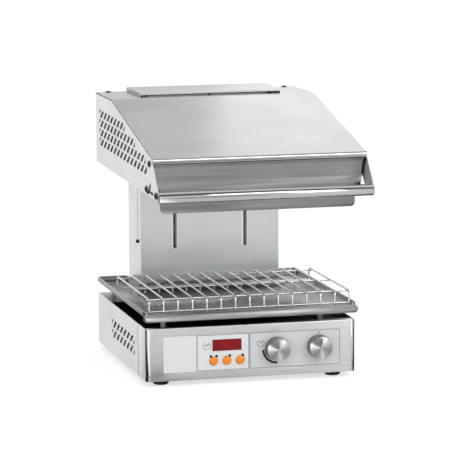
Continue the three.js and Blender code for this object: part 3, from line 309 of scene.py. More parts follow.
def brushed_steel(name, colour, grain, across, roughness, streak=0.12):
    """Brushed stainless sheet. Its grain has a size in millimetres along X, Y and Z, and a way across it."""
    material, tree = new_material(name)
    spot = add_node(tree, "ShaderNodeTexCoord")
    stretched = add_node(tree, "ShaderNodeMapping", {
        0: spot.outputs["Object"], "Scale": [per_metre(size) for size in grain]})
    streaks = add_node(tree, "ShaderNodeTexNoise", {0: stretched.outputs[0], "Scale": 1, "Detail": 3})
    clouds = add_node(tree, "ShaderNodeTexNoise", {
        0: spot.outputs["Object"], "Scale": per_metre(CLOUD), "Detail": 1})
    blend = add_node(tree, "ShaderNodeMath", {0: streaks.outputs[0], 1: clouds.outputs[0]}, operation="ADD")
    shade = add_node(tree, "ShaderNodeMapRange", {
        "Value": blend.outputs[0], "From Min": 2 * NOISE_LOW, "From Max": 2 * NOISE_HIGH,
        "To Min": 1 - streak, "To Max": 1 + streak})
    tinted = add_node(tree, "ShaderNodeMix", {
        0: 1, COLOUR_A: linear(colour), COLOUR_B: shade.outputs[0]}, data_type="RGBA", blend_type="MULTIPLY")
    rough = add_node(tree, "ShaderNodeMapRange", {
        "Value": streaks.outputs[0], "From Min": NOISE_LOW, "From Max": NOISE_HIGH,
        "To Min": roughness - ROUGHNESS_SPREAD, "To Max": roughness + ROUGHNESS_SPREAD})
    grooves = add_node(tree, "ShaderNodeBump", {
        "Height": streaks.outputs[0], "Strength": GRAIN_STRENGTH, "Distance": GRAIN_RELIEF * MM})
    smeared = add_node(tree, "ShaderNodeCombineXYZ", {0: across[0], 1: across[1], 2: across[2]})
    metal = add_node(tree, "ShaderNodeBsdfPrincipled", {
        "Base Color": tinted.outputs[MIXED_COLOUR], "Metallic": 1, "Roughness": rough.outputs[0],
        "Normal": grooves.outputs[0], "Anisotropic": SMEAR, "Tangent": smeared.outputs[0]})
    add_node(tree, "ShaderNodeOutputMaterial", {"Surface": metal.outputs[0]})
    return material


def grained(name, grain, detail, colours, roughness, relief=None, **shader):
    """A finish varied by one grain, of one size in millimetres or one each along X, Y and Z.

    One colour or roughness is the same all over, and the grain blends two. Relief is strength and height.
    """
    material, tree = new_material(name)
    sizes = grain if isinstance(grain, tuple) else (grain, grain, grain)
    spot = add_node(tree, "ShaderNodeTexCoord")
    sized = add_node(tree, "ShaderNodeMapping", {
        0: spot.outputs["Object"], "Scale": [per_metre(size) for size in sizes]})
    pattern = add_node(tree, "ShaderNodeTexNoise", {0: sized.outputs[0], "Scale": 1, "Detail": detail})
    inputs = {key.replace("_", " "): value for key, value in shader.items()}
    inputs["Base Color"] = linear(colours[0])
    if len(colours) > 1:
        tone = add_node(tree, "ShaderNodeMix", {
            0: pattern.outputs[0], COLOUR_A: linear(colours[0]), COLOUR_B: linear(colours[1])},
            data_type="RGBA")
        inputs["Base Color"] = tone.outputs[MIXED_COLOUR]
    inputs["Roughness"] = roughness[0]
    if len(roughness) > 1:
        rough = add_node(tree, "ShaderNodeMapRange", {
            "Value": pattern.outputs[0], "To Min": roughness[0], "To Max": roughness[1]})
        inputs["Roughness"] = rough.outputs[0]
    if relief:
        bumps = add_node(tree, "ShaderNodeBump", {
            "Height": pattern.outputs[0], "Strength": relief[0], "Distance": relief[1] * MM})
        inputs["Normal"] = bumps.outputs[0]
    surface = add_node(tree, "ShaderNodeBsdfPrincipled", inputs)
    add_node(tree, "ShaderNodeOutputMaterial", {"Surface": surface.outputs[0]})
    return material


def finish(material, *names):
    """Gives the plain flat pieces of the frame their material."""
    for name in names:
        for slot in node[name].material_slots:
            slot.material = material


def repaint(piece, material, chosen):
    """Gives the faces that chosen picks a material of their own."""
    piece.data.materials.append(material)
    for face in piece.data.polygons:
        if chosen(face):
            face.material_index = len(piece.data.materials) - 1


def smoothed(name, body, material):
    """A merged copy of a round piece, with its facets shaded as one surface, which stands for it."""
    mesh = node[name].data.copy()
    mesh.name = name + "_smooth"
    merged = bmesh.new()
    merged.from_mesh(mesh)
    bmesh.ops.remove_doubles(merged, verts=merged.verts, dist=SAME_POINT)
    merged.to_mesh(mesh)
    merged.free()
    mesh.shade_smooth()
    mesh.set_sharp_from_angle(angle=math.radians(CREASE))
    mesh.materials.clear()
    mesh.materials.append(material)
    piece = bpy.data.objects.new(name + "_smooth", mesh)
    bpy.context.collection.objects.link(piece)
    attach(piece, body)
    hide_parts(name)
    return piece


FRONT_TONE = "#c9cbcc"
ALONG_X = (STROKE, GRAIN, GRAIN)
ALONG_Y = (GRAIN, STROKE, GRAIN)
ALONG_Z = (STROKE, STROKE, GRAIN)
front_sheet = brushed_steel("brushed_front_sheet", FRONT_TONE, ALONG_Z, UPRIGHT, 0.3)
# The side sheet is drawn paler than the front, as painted light on the sides.
paler_side_sheet = brushed_steel("brushed_side_sheet_painted_light", "#e6e8e9", ALONG_Y, UPRIGHT, 0.34)
flat_sheet = brushed_steel("brushed_flat_sheet", "#c6c8c9", ALONG_X, SLANTED, 0.34)
ground_corner = grained("ground_and_polished_corner", (16.67, 16.67, 1.429), 2, (FRONT_TONE,), (0.12, 0.17),
                        Metallic=1)
panel = smoothed("base_front_panel", "base", front_sheet)
# The front panel's wrapped side faces take the paler side sheet, as painted light.
repaint(panel, paler_side_sheet, lambda face: abs(face.normal.x) > SIDE_FACING)
repaint(panel, ground_corner,
        lambda face: BEND_FACING < abs(face.normal.x) <= SIDE_FACING and abs(face.normal.z) < LEVEL_FACING)
finish(paler_side_sheet, "base_left_side", "base_right_side")
finish(flat_sheet, "base_rear_panel", "rear_deck")
# The floor plate is galvanised: zinc crystals about 6 mm wide, each with its own shade.
ZINC_CRYSTAL = 6.25
galvanised, tree = new_material("galvanised_steel")
spot = add_node(tree, "ShaderNodeTexCoord")
crystals = add_node(tree, "ShaderNodeTexVoronoi", {
    0: spot.outputs["Object"], "Scale": per_metre(ZINC_CRYSTAL)})
shade = add_node(tree, "ShaderNodeMapRange", {
    "Value": crystals.outputs["Color"], "To Min": 0.75, "To Max": 1.1})
tinted = add_node(tree, "ShaderNodeMix", {
    0: 1, COLOUR_A: linear("#a9abac"), COLOUR_B: shade.outputs[0]}, data_type="RGBA", blend_type="MULTIPLY")
zinc = add_node(tree, "ShaderNodeBsdfPrincipled", {
    "Base Color": tinted.outputs[MIXED_COLOUR], "Metallic": 1, "Roughness": 0.5})
add_node(tree, "ShaderNodeOutputMaterial", {"Surface": zinc.outputs[0]})
finish(galvanised, "base_floor")


# The vent baffles in the base.
# A strip of dull grey sheet is spot-welded close behind each side's slots, to stop splashes and fingers.
# It lies in shade, so the slots show a dark grey that still has some light in it.
def prism(name, outline, axis, low, high, material, body):
    """A flat outline, in drawing millimetres, with a thickness along one axis."""
    turned = {"X": lambda a, b, c: (c, a, b), "Y": lambda a, b, c: (a, c, b), "Z": lambda a, b, c: (a, b, c)}
    corners = [place(*turned[axis](a, b, c)) for c in (low, high) for a, b in outline]
    count = len(outline)
    faces = [tuple(range(count)), tuple(range(count, 2 * count))]
    faces += [(i, (i + 1) % count, count + (i + 1) % count, count + i) for i in range(count)]
    mesh = bpy.data.meshes.new(name)
    mesh.from_pydata(corners, [], faces)
    form = bmesh.new()
    form.from_mesh(mesh)
    bmesh.ops.recalc_face_normals(form, faces=form.faces)
    form.to_mesh(mesh)
    form.free()
    mesh.materials.append(material)
    piece = bpy.data.objects.new(name, mesh)
    bpy.context.collection.objects.link(piece)
    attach(piece, body)


def on_both_sides(name, outline, near, far, material, body):
    """A piece of the same outline on the left and the right, from near to far off the middle."""
    for side, sign in (("left", -1), ("right", 1)):
        low, high = sorted((sign * near, sign * far))
        prism(name.format(side), outline, "X", low, high, material, body)


HALF_WIDTH = 200
BASE_BAFFLE_NEAR, BASE_BAFFLE_FAR = 195.6, 196.5
LOW_BAFFLE = [(78, 2), (304, 2), (304, 59.4), (78, 59.4)]
HIGH_BAFFLE = [(78, 61.8), (303, 61.8), (303, 74), (298, 78), (83, 78), (78, 74)]
baffle_sheet = grained("dull_aluminised_sheet", 11.11, 4, ("#c3c4c3", "#d6d7d6"), (0.7,), Metallic=0.3)
for row, outline in (("low", LOW_BAFFLE), ("high", HIGH_BAFFLE)):
    on_both_sides("base_{}_" + row + "_baffle", outline, BASE_BAFFLE_NEAR, BASE_BAFFLE_FAR, baffle_sheet,
                  "base")

# The recess under the tray.
# A folded steel pan hides the wiring and catches what the tray misses.
# Its matt near-black, with a fine orange-peel grain, is painted shade for the deep shade in the recess, and
# reflects almost nothing.
# The same near-black is painted shade in the recess and the real black of the stop pin, the gas spring and
# the small screws.
black_enamel_and_shade = grained("matt_black_enamel_and_painted_shade", 1.429, 2, ("#070708",), (0.5, 0.7), (0.2, 0.2),
                       Specular_IOR_Level=0.15)
finish(black_enamel_and_shade, "recess_pan", "stop_pin")

# The feet.
# Four moulded rubber feet, each with a narrower neck, are screwed to the floor plate.
# The rubber is matt black with the faint mottling of a worn mould.
rubber = grained("moulded_rubber", 2.5, 3, ("#0d0d0d", "#1b1b1b"), (0.75,), (0.3, 0.2))
for corner in ("front_left", "front_right", "rear_left", "rear_right"):
    smoothed("foot_" + corner, "base", rubber)

# The fascia.
# Two pale plates and a silver one are stuck side by side on the front panel.
# The pale ones are satin lacquered and left bare, and the knobs' plate is foil printed like brushed silver.
satin_lacquer = grained("satin_lacquered_plate", 2, 2, ("#d5d6d6", "#dfe0e0"), (0.4, 0.5))
silver_foil = grained("brushed_silver_foil", ALONG_X, 3, ("#c5c7c8", "#d5d7d8"), (0.36, 0.46), Metallic=0.3)
finish(satin_lacquer, "badge_plate", "timer_plate")
finish(silver_foil, "knob_plate")


# The print on the fascia.
# Fine grey borders, two clock signs, a tapering scale and index marks are screen-printed on the plates.
# The ink is matt and stands a few hundredths of a millimetre high, drawn here a little thicker.
def stroke_tree():
    tree = bpy.data.node_groups.new("printed_strokes", "GeometryNodeTree")
    sockets = {}
    for name, kind in (("Paths", "NodeSocketGeometry"), ("Width", "NodeSocketFloat"),
                       ("Thickness", "NodeSocketFloat"), ("Material", "NodeSocketMaterial")):
        sockets[name] = tree.interface.new_socket(name, in_out="INPUT", socket_type=kind).identifier
    tree.interface.new_socket("Print", in_out="OUTPUT", socket_type="NodeSocketGeometry")
    given = add_node(tree, "NodeGroupInput").outputs
    lines = add_node(tree, "GeometryNodeMeshToCurve", {0: given["Paths"]})
    taper = add_node(tree, "GeometryNodeInputNamedAttribute", {"Name": "taper"}, data_type="FLOAT")
    sized = add_node(tree, "GeometryNodeSetCurveRadius", {
        "Curve": lines.outputs[0], "Radius": taper.outputs[0]})
    flat = add_node(tree, "GeometryNodeSetCurveNormal", {
        "Curve": sized.outputs[0], "Normal": (0, 1, 0)}, mode="FREE")
    section = add_node(tree, "GeometryNodeCurvePrimitiveQuadrilateral", {
        "Width": given["Thickness"], "Height": given["Width"]})
    drawn = add_node(tree, "GeometryNodeCurveToMesh", {
        "Curve": flat.outputs[0], "Profile Curve": section.outputs[0], "Fill Caps": True})
    whole = add_node(tree, "GeometryNodeRealizeInstances", {0: drawn.outputs[0]})
    coated = add_node(tree, "GeometryNodeSetMaterial", {0: whole.outputs[0], "Material": given["Material"]})
    add_node(tree, "NodeGroupOutput", {0: coated.outputs[0]})
    return tree, sockets


def grown(name, points, edges, tree, sockets, settings, taper=None):
    """Runs a tree on points and edges, and keeps the result as a plain mesh."""
    seed_mesh = bpy.data.meshes.new(name + "_path")
    seed_mesh.from_pydata(points, edges, [])
    if taper:
        shares = seed_mesh.attributes.new("taper", "FLOAT", "POINT")
        shares.data.foreach_set("value", taper)
    seed = bpy.data.objects.new(name + "_path", seed_mesh)
    bpy.context.collection.objects.link(seed)
    modifier = seed.modifiers.new("grow", "NODES")
    modifier.node_group = tree
    for key, value in settings.items():
        modifier[sockets[key]] = value
    seed.update_tag()
    bpy.context.view_layer.update()
    evaluated = seed.evaluated_get(bpy.context.evaluated_depsgraph_get())
    mesh = bpy.data.meshes.new_from_object(evaluated)
    mesh.name = name
    bpy.data.objects.remove(seed)
    piece = bpy.data.objects.new(name, mesh)
    bpy.context.collection.objects.link(piece)
    return piece


def arc_points(x, z, radius, start, end, steps):
    turns = [math.radians(start + (end - start) * step / steps) for step in range(steps + 1)]
    return [(x + radius * math.cos(turn), z + radius * math.sin(turn)) for turn in turns]


def frame_points(left, right, bottom, top, corner):
    points = []
    for x, z, start in ((right - corner, top - corner, 0), (left + corner, top - corner, 90),
                        (left + corner, bottom + corner, 180), (right - corner, bottom + corner, 270)):
        points += arc_points(x, z, corner, start, start + 90, 4)
    return points + points[:1]


def printed(name, lines, width, material, body, tapers=None):
    """Flat strokes of ink on the plates, of one width or tapering."""
    points, edges, shares = [], [], []
    for index, line in enumerate(lines):
        first = len(points)
        points += [place(x, PRINT_DEPTH, z) for x, z in line]
        edges += [(step, step + 1) for step in range(first, len(points) - 1)]
        shares += tapers[index] if tapers else [1.0] * len(line)
    piece = grown(name, points, edges, strokes, stroke_sockets, {
        "Width": width * MM, "Thickness": INK_HEIGHT * MM, "Material": material}, shares)
    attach(piece, body)


INK_HEIGHT = 0.3
PRINT_DEPTH = -1.05
BORDER_LINE, CLOCK_LINE, HAND_LINE, INDEX_LINE, SCALE_LINE = 0.8, 0.8, 1.3, 1.8, 4
BORDER_BOTTOM, BORDER_TOP, BORDER_CORNER = 16.2, 81.8, 3
TIMER_LEFT, TIMER_RIGHT = -103.9, -6.1
KNOBS_LEFT, KNOBS_RIGHT = -3.6, 168.6
# Each clock's middle and radius, its ring's two ends in degrees, and its hands from the middle.
CLOCKS = ((-85.5, 62.5, 7), (17, 63, 6.8))
RING_START, RING_END, RING_STEPS = 118, 420, 24
HANDS = ((-2.6, 2.7), (0, -0.7), (3.6, 3.3))
# The left knob's scale, a stroke round it that draws away from it and thins out.
SCALE_X, SCALE_Z = 47, 51
SCALE_RADIUS, SCALE_DRIFT = 25.4, 1.5
SCALE_START, SCALE_TURN, SCALE_STEPS = 184, 90, 24
SCALE_THINNING = 0.8
INDEX_X, INDEX_TOP, INDEX_BOTTOM = 128.8, 78.4, 75.4
DOTS_X = (-78.25, -67.25, -42.25, -17.25)
DOT_Z, DOT_RADIUS, DOT_SIDES = 42.25, 2.6, 24
DOT_FRONT, DOT_REAR = -1.25, -0.9
strokes, stroke_sockets = stroke_tree()
grey_ink = grained("matt_grey_ink", 0.6667, 2, ("#5d6063", "#717477"), (0.6,))
black_ink = grained("matt_black_ink", 0.6667, 2, ("#0d0d0e", "#1e1e20"), (0.55,))
printed("plate_borders", [frame_points(left, right, BORDER_BOTTOM, BORDER_TOP, BORDER_CORNER)
                          for left, right in ((TIMER_LEFT, TIMER_RIGHT), (KNOBS_LEFT, KNOBS_RIGHT))],
        BORDER_LINE, grey_ink, "base")
printed("clock_rings", [arc_points(x, z, radius, RING_START, RING_END, RING_STEPS)
                        for x, z, radius in CLOCKS], CLOCK_LINE, grey_ink, "base")
printed("clock_hands", [[(x + aside, z + above) for aside, above in HANDS] for x, z, radius in CLOCKS],
        HAND_LINE, black_ink, "base")
scale_line, scale_taper = [], []
for step in range(SCALE_STEPS + 1):
    share = step / SCALE_STEPS
    turn = math.radians(SCALE_START + SCALE_TURN * share)
    radius = SCALE_RADIUS + SCALE_DRIFT * share
    scale_line.append((SCALE_X + radius * math.cos(turn), SCALE_Z + radius * math.sin(turn)))
    scale_taper.append(1 - SCALE_THINNING * share)
printed("left_knob_scale", [scale_line], SCALE_LINE, black_ink, "base", [scale_taper])
printed("right_knob_index", [[(INDEX_X, INDEX_TOP), (INDEX_X, INDEX_BOTTOM)]], INDEX_LINE, black_ink,
        "base")
for dot, x in enumerate(DOTS_X):
    rim = arc_points(x, DOT_Z, DOT_RADIUS, 0, 360 - 360 / DOT_SIDES, DOT_SIDES - 1)
    prism("timer_dot_{}".format(dot + 1), rim, "Y", DOT_FRONT, DOT_REAR, black_ink, "base")

# The timer: window, buttons and board.
# A red acrylic window covers the digits, which are off, and three orange caps press switches behind.
# The acrylic is glossy and deep red, and the caps are moulded with a satin face.
red_acrylic = grained("red_acrylic", 16.67, 1, ("#6a0a11", "#92141d"), (0.2,), IOR=1.49,
                      Specular_IOR_Level=0.2)
finish(red_acrylic, "display_window")
orange_cap = grained("orange_moulded_cap", 1.25, 2, ("#ee8114", "#f6901f"), (0.25,), (0.1, 0.1))
for button in ("left_button", "middle_button", "right_button"):
    smoothed(button, button, orange_cap)
# The board's green varnish is paler over its copper areas, which are about 3 mm wide.
COPPER_AREA = 3.333
green_board, tree = new_material("green_circuit_board")
spot = add_node(tree, "ShaderNodeTexCoord")
tracks = add_node(tree, "ShaderNodeTexVoronoi", {0: spot.outputs["Object"], "Scale": per_metre(COPPER_AREA)})
tone = add_node(tree, "ShaderNodeMix", {
    0: tracks.outputs["Distance"], COLOUR_A: linear("#1f4a2c"), COLOUR_B: linear("#356a45")},
    data_type="RGBA")
board = add_node(tree, "ShaderNodeBsdfPrincipled", {
    "Base Color": tone.outputs[MIXED_COLOUR], "Roughness": 0.5})
add_node(tree, "ShaderNodeOutputMaterial", {"Surface": board.outputs[0]})
finish(green_board, "timer_board")

# The knobs.
# Each knob is a turned aluminium cap on a steel shaft, with a spun face that shows fine rings.
# The rings spread a lamp's light into bright wedges, and brighter and duller wedges round the knob's axis are
# also painted into its colour as painted highlights.
SPECK = 1.111
# Painted highlights: the knob's colour is made brighter and darker in wedges round its axis, by these stops.
PAINTED_WEDGE_HIGHLIGHT_STOPS = [(0, 0.85), (0.05, 0.5), (0.13, 0.3), (0.21, 0.5), (0.27, 0.85), (0.33, 0.55), (0.42, 0.36),
               (0.52, 0.45), (0.6, 0.75), (0.67, 0.5), (0.8, 0.2), (0.91, 0.35), (0.96, 1), (1, 0.85)]
SKIRT_FACING = -0.45
POINTER_X = 128.4
POINTER = [(-1.2, 59.5), (1.2, 59.5), (0.8, 67.5), (0, 68.3), (-0.8, 67.5)]
POINTER_FRONT, POINTER_REAR = -21.75, -20.2
spun_aluminium, tree = new_material("spun_aluminium")
spot = add_node(tree, "ShaderNodeTexCoord")
direction = add_node(tree, "ShaderNodeTangent", direction_type="RADIAL", axis="Y")
specks = add_node(tree, "ShaderNodeTexNoise", {
    0: spot.outputs["Object"], "Scale": per_metre(SPECK), "Detail": 2})
rough = add_node(tree, "ShaderNodeMapRange", {"Value": specks.outputs[0], "To Min": 0.26, "To Max": 0.38})
parts = add_node(tree, "ShaderNodeSeparateXYZ", {0: spot.outputs["Generated"]})
along = add_node(tree, "ShaderNodeMath", {0: parts.outputs["X"], 1: 0.5}, operation="SUBTRACT")
above = add_node(tree, "ShaderNodeMath", {0: parts.outputs["Z"], 1: 0.5}, operation="SUBTRACT")
turn = add_node(tree, "ShaderNodeMath", {0: above.outputs[0], 1: along.outputs[0]}, operation="ARCTAN2")
turn_share = add_node(tree, "ShaderNodeMapRange", {
    "Value": turn.outputs[0], "From Min": -HALF_TURN, "From Max": HALF_TURN})
painted_wedge_highlights = add_node(tree, "ShaderNodeValToRGB", {0: turn_share.outputs[0]})
set_ramp(painted_wedge_highlights, PAINTED_WEDGE_HIGHLIGHT_STOPS)
satin_with_painted_wedges = add_node(tree, "ShaderNodeMix", {
    0: 1, COLOUR_A: linear("#e9eaeb"), COLOUR_B: painted_wedge_highlights.outputs[0]}, data_type="RGBA", blend_type="MULTIPLY")
spun = add_node(tree, "ShaderNodeBsdfPrincipled", {
    "Base Color": satin_with_painted_wedges.outputs[MIXED_COLOUR], "Metallic": 1, "Roughness": rough.outputs[0],
    "Anisotropic": 0.85, "Anisotropic Rotation": 0.25, "Tangent": direction.outputs[0]})
add_node(tree, "ShaderNodeOutputMaterial", {"Surface": spun.outputs[0]})
polished_steel = grained("polished_steel", 16.67, 3, ("#b9babb",), (0.08, 0.15), Metallic=1)
# The knobs' skirts get a darker copy of the aluminium, as painted shade round each knob's rim.
shaded_knob_skirt = grained("knob_skirt_painted_shade", (16.67, 0.4, 16.67), 2, ("#6f7071", "#8d8e8f"), (0.42,), Metallic=1)
for side in ("left", "right"):
    knob = smoothed(side + "_knob", side + "_knob", spun_aluminium)
    repaint(knob, shaded_knob_skirt, lambda face: face.normal.y > SKIRT_FACING)
    finish(polished_steel, side + "_shaft")
prism("right_knob_pointer", [(POINTER_X + aside, z) for aside, z in POINTER], "Y",
      POINTER_FRONT, POINTER_REAR, black_ink, "right_knob")

# Inside the base.
# A ceramic regulator, a switch and a terminal block sit behind the panel, with a gland for the cable.
# The ceramic is unglazed and chalky, and the switch and gland are matt black nylon.
steatite = grained("unglazed_ceramic", 3.333, 4, ("#d9d2c2", "#efe9db"), (0.8,), (0.2, 0.3))
black_nylon = grained("black_nylon", 1.667, 2, ("#101011", "#1d1d1f"), (0.5,))
finish(steatite, "regulator_body", "terminal_block")
finish(black_nylon, "switch_body")
smoothed("cable_gland", "base", black_nylon)

# The column.
# A folded steel casing with two long slots stands over the guide rods and gas spring that carry the hood.
# Polished edging and pale nylon liners line the slots, and the hood's two arms run between them.
COLUMN_FACING = 0.9
SLOT_X = 70
SLOT_BOTTOM, SLOT_TOP = 196.4, 347.6
SLOT_EDGE = 3.3
CASING_HOLE = 4.4
LEFT_LIP, RIGHT_LIP = 7.4, 5.6
LINER = ((3.5, 313), (CASING_HOLE, 313), (CASING_HOLE, 345), (3.5, 345))
column_sheet = brushed_steel("brushed_column_sheet", "#d3d5d6", (0.7692, 0.7692, 125), (1, 0, 0), 0.36, 0.07)
casing = smoothed("column_casing", "base", column_sheet)
casing.data.shade_flat()
# The casing's side faces take the paler side sheet too, as painted light.
repaint(casing, paler_side_sheet, lambda face: abs(face.normal.x) > COLUMN_FACING)
finish(column_sheet, "column_rear_cover", "column_cap", "foot_guard")
edging = grained("polished_slot_edging", 2, 2, ("#e4e5e5", "#f2f2f2"), (0.3,), Metallic=1)
pale_nylon = grained("pale_grey_nylon", 2, 2, ("#e6e6e5", "#f2f2f1"), (0.5,))
for side, slot_x in (("left", -SLOT_X), ("right", SLOT_X)):
    for edge, sign, lip in (("left", -1, LEFT_LIP), ("right", 1, RIGHT_LIP)):
        name = "{}_slot_{}_".format(side, edge)
        rim = ((SLOT_EDGE, 311.4), (3.7, 310.9), (lip, 310.9), (lip, 311.9), (CASING_HOLE, 311.9),
               (CASING_HOLE, 312.9), (SLOT_EDGE, 312.9))
        prism(name + "edging", [(slot_x + sign * x, y) for x, y in rim], "Z", SLOT_BOTTOM, SLOT_TOP,
              edging, "base")
        prism(name + "liner", [(slot_x + sign * x, y) for x, y in LINER], "Z", SLOT_BOTTOM, SLOT_TOP,
              pale_nylon, "base")
for side in ("left", "right"):
    smoothed("guide_rod_" + side, "base", polished_steel)
smoothed("gas_spring_cylinder", "base", black_enamel_and_shade)
smoothed("gas_spring_rod", "hood", polished_steel)

# The posts.
# Four short turned steel posts carry the tray, two on the recess floor and two on the rear deck.
# Their fine turning lines spread the light, so they show pale against the black recess.
bright_post = grained("fine_turned_steel", (16.67, 16.67, 0.4), 2, ("#eeeeee",), (0.25, 0.35), Metallic=0.6)
for row in ("front", "rear"):
    for side in ("left", "right"):
        smoothed("tray_post_{}_{}".format(row, side), "base", bright_post)

# The drip tray.
# The tray is pressed from one sheet, with a rounded grip rolled along its front edge.
# Its satin surface has light drawing streaks from front to rear.
GRIP_DEPTH = 13
# The tray's sheet is drawn darker than the grip's, as painted shade and reflection of the dark hood above it.
shaded_tray_sheet = brushed_steel("satin_tray_sheet_painted_shade", "#8b8d8e", (3.333, 50, 3.333), (1, 0, 0.1), 0.3)
grip_sheet = brushed_steel("satin_tray_grip", "#a6a8a9", (STROKE, 1.429, 1.429), SLANTED, 0.42)
tray = smoothed("drip_tray", "tray", shaded_tray_sheet)
grip_rear = min(corner.co.y for corner in tray.data.vertices) + GRIP_DEPTH * MM
repaint(tray, grip_sheet, lambda face: face.center.y < grip_rear)

# The wire rack.
# Fifteen bright wires, bent down at both ends, are welded across five straight ones.
# The rack lies loose in the tray on its bent ends.
WIRE_COUNT = 15
WIRE_RADIUS, WIRE_SIDES = 1.75, 12
WIRE_BEND, BEND_STEPS = 8, 6
RACK_HALF_WIDTH = 190.8
RACK_FRONT, RACK_REAR = 12.5, 284
RACK_TOP, RACK_FOOT = 151, 115.76
# Each cross wire's Y and Z: three under the long wires, and one behind each row of bent ends.
CROSS_WIRES = ((26.5, 148.2), (15.3, 127.7), (148.25, 148.2), (270, 148.2), (281.2, 127.7))


def wire_tree():
    tree = bpy.data.node_groups.new("repeated_bent_wires", "GeometryNodeTree")
    sockets = {}
    for name, kind in (("Path", "NodeSocketGeometry"), ("Count", "NodeSocketInt"),
                       ("Pitch", "NodeSocketFloat"), ("Bend radius", "NodeSocketFloat"),
                       ("Wire radius", "NodeSocketFloat"), ("Material", "NodeSocketMaterial")):
        sockets[name] = tree.interface.new_socket(name, in_out="INPUT", socket_type=kind).identifier
    tree.interface.new_socket("Wires", in_out="OUTPUT", socket_type="NodeSocketGeometry")
    given = add_node(tree, "NodeGroupInput").outputs
    path = add_node(tree, "GeometryNodeMeshToCurve", {0: given["Path"]})
    bent = add_node(tree, "GeometryNodeFilletCurve", {
        "Curve": path.outputs[0], "Radius": given["Bend radius"], "Count": BEND_STEPS, "Limit Radius": True},
        mode="POLY")
    section = add_node(tree, "GeometryNodeCurvePrimitiveCircle", {
        "Resolution": WIRE_SIDES, "Radius": given["Wire radius"]})
    drawn = add_node(tree, "GeometryNodeCurveToMesh", {
        "Curve": bent.outputs[0], "Profile Curve": section.outputs[0], "Fill Caps": True})
    steps = add_node(tree, "ShaderNodeMath", {0: given["Count"], 1: 1}, operation="SUBTRACT")
    first = add_node(tree, "ShaderNodeMath", {0: steps.outputs[0], 1: -0.5}, operation="MULTIPLY")
    first = add_node(tree, "ShaderNodeMath", {0: first.outputs[0], 1: given["Pitch"]}, operation="MULTIPLY")
    start = add_node(tree, "ShaderNodeCombineXYZ", {"X": first.outputs[0]})
    offset = add_node(tree, "ShaderNodeCombineXYZ", {"X": given["Pitch"]})
    row = add_node(tree, "GeometryNodeMeshLine", {
        "Count": given["Count"], "Start Location": start.outputs[0], "Offset": offset.outputs[0]},
        mode="OFFSET")
    copies = add_node(tree, "GeometryNodeInstanceOnPoints", {0: row.outputs[0], "Instance": drawn.outputs[0]})
    whole = add_node(tree, "GeometryNodeRealizeInstances", {0: copies.outputs[0]})
    smooth = add_node(tree, "GeometryNodeSetShadeSmooth", {0: whole.outputs[0]})
    coated = add_node(tree, "GeometryNodeSetMaterial", {0: smooth.outputs[0], "Material": given["Material"]})
    add_node(tree, "NodeGroupOutput", {0: coated.outputs[0]})
    return tree, sockets


bright_wire = grained("bright_drawn_wire", 8.333, 3, ("#dedfe0",), (0.16, 0.3), Metallic=1)
wires, wire_sockets = wire_tree()
long_path = [place(0, RACK_FRONT, RACK_FOOT), place(0, RACK_FRONT, RACK_TOP),
             place(0, RACK_REAR, RACK_TOP), place(0, RACK_REAR, RACK_FOOT)]
long_wires = grown("rack_long_wires", long_path, [(0, 1), (1, 2), (2, 3)], wires, wire_sockets, {
    "Count": WIRE_COUNT, "Pitch": RACK_HALF_WIDTH * 2 / (WIRE_COUNT - 1) * MM, "Bend radius": WIRE_BEND * MM,
    "Wire radius": WIRE_RADIUS * MM, "Material": bright_wire})
cross_end = RACK_HALF_WIDTH + WIRE_RADIUS
cross_path = [place(x, y, z) for y, z in CROSS_WIRES for x in (-cross_end, cross_end)]
cross_edges = [(start, start + 1) for start in range(0, len(cross_path), 2)]
cross_wires = grown("rack_cross_wires", cross_path, cross_edges, wires, wire_sockets, {
    "Count": 1, "Pitch": 0.0, "Bend radius": 0.0, "Wire radius": WIRE_RADIUS * MM, "Material": bright_wire})
for piece in (long_wires, cross_wires):
    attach(piece, "rack")
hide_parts("wire_rack")

# The hood.
# Two vented side sheets, brushed from front to rear, are welded to flanges under a bent cover.
# The cover is brushed across the appliance. The sides are drawn paler as painted light, and their
# front-facing cut edges darker as painted shade.
FRONT_FACING = -0.5
HOOD_GRAIN = 1.429
HOOD_STROKE = 100
# Painted light: the hood's sides are drawn paler than the cover.
paler_hood_side_sheet = brushed_steel("brushed_hood_side_painted_light", "#ebedee", ALONG_Y, UPRIGHT, 0.34, 0.06)
cover_sheet = brushed_steel("brushed_cover", "#c2c4c5", (HOOD_STROKE, HOOD_GRAIN, HOOD_GRAIN), SLANTED, 0.32)
shaded_edge_sheet = brushed_steel("brushed_hood_edge_painted_shade", "#9fa1a2", ALONG_Y, UPRIGHT, 0.4, 0.06)
for side in ("left", "right"):
    sheet = smoothed("hood_{}_side".format(side), "hood", paler_hood_side_sheet)
    sheet.data.shade_flat()
    # Painted shade: the front-facing cut edges round the vents take the darker copy.
    repaint(sheet, shaded_edge_sheet, lambda face: face.normal.y < FRONT_FACING)
finish(cover_sheet, "top_cover")

# The baffles behind the hood's vents.
# The same dull sheet as in the base stands close behind the slots, in a front and a rear part.
# It keeps the heat inside and shows through the slots as a dark grey.
HOOD_BAFFLE_NEAR, HOOD_BAFFLE_FAR = 195.1, 196
FRONT_BAFFLE = [(-24, 351.3), (296.5, 356.9), (296.5, 470), (225, 470), (-24, 418)]
REAR_BAFFLE = [(299.4, 357), (404, 358.9), (404, 470), (299.4, 470)]
for part, outline in (("front", FRONT_BAFFLE), ("rear", REAR_BAFFLE)):
    on_both_sides("hood_{}_" + part + "_baffle", outline, HOOD_BAFFLE_NEAR, HOOD_BAFFLE_FAR, baffle_sheet,
                  "hood")

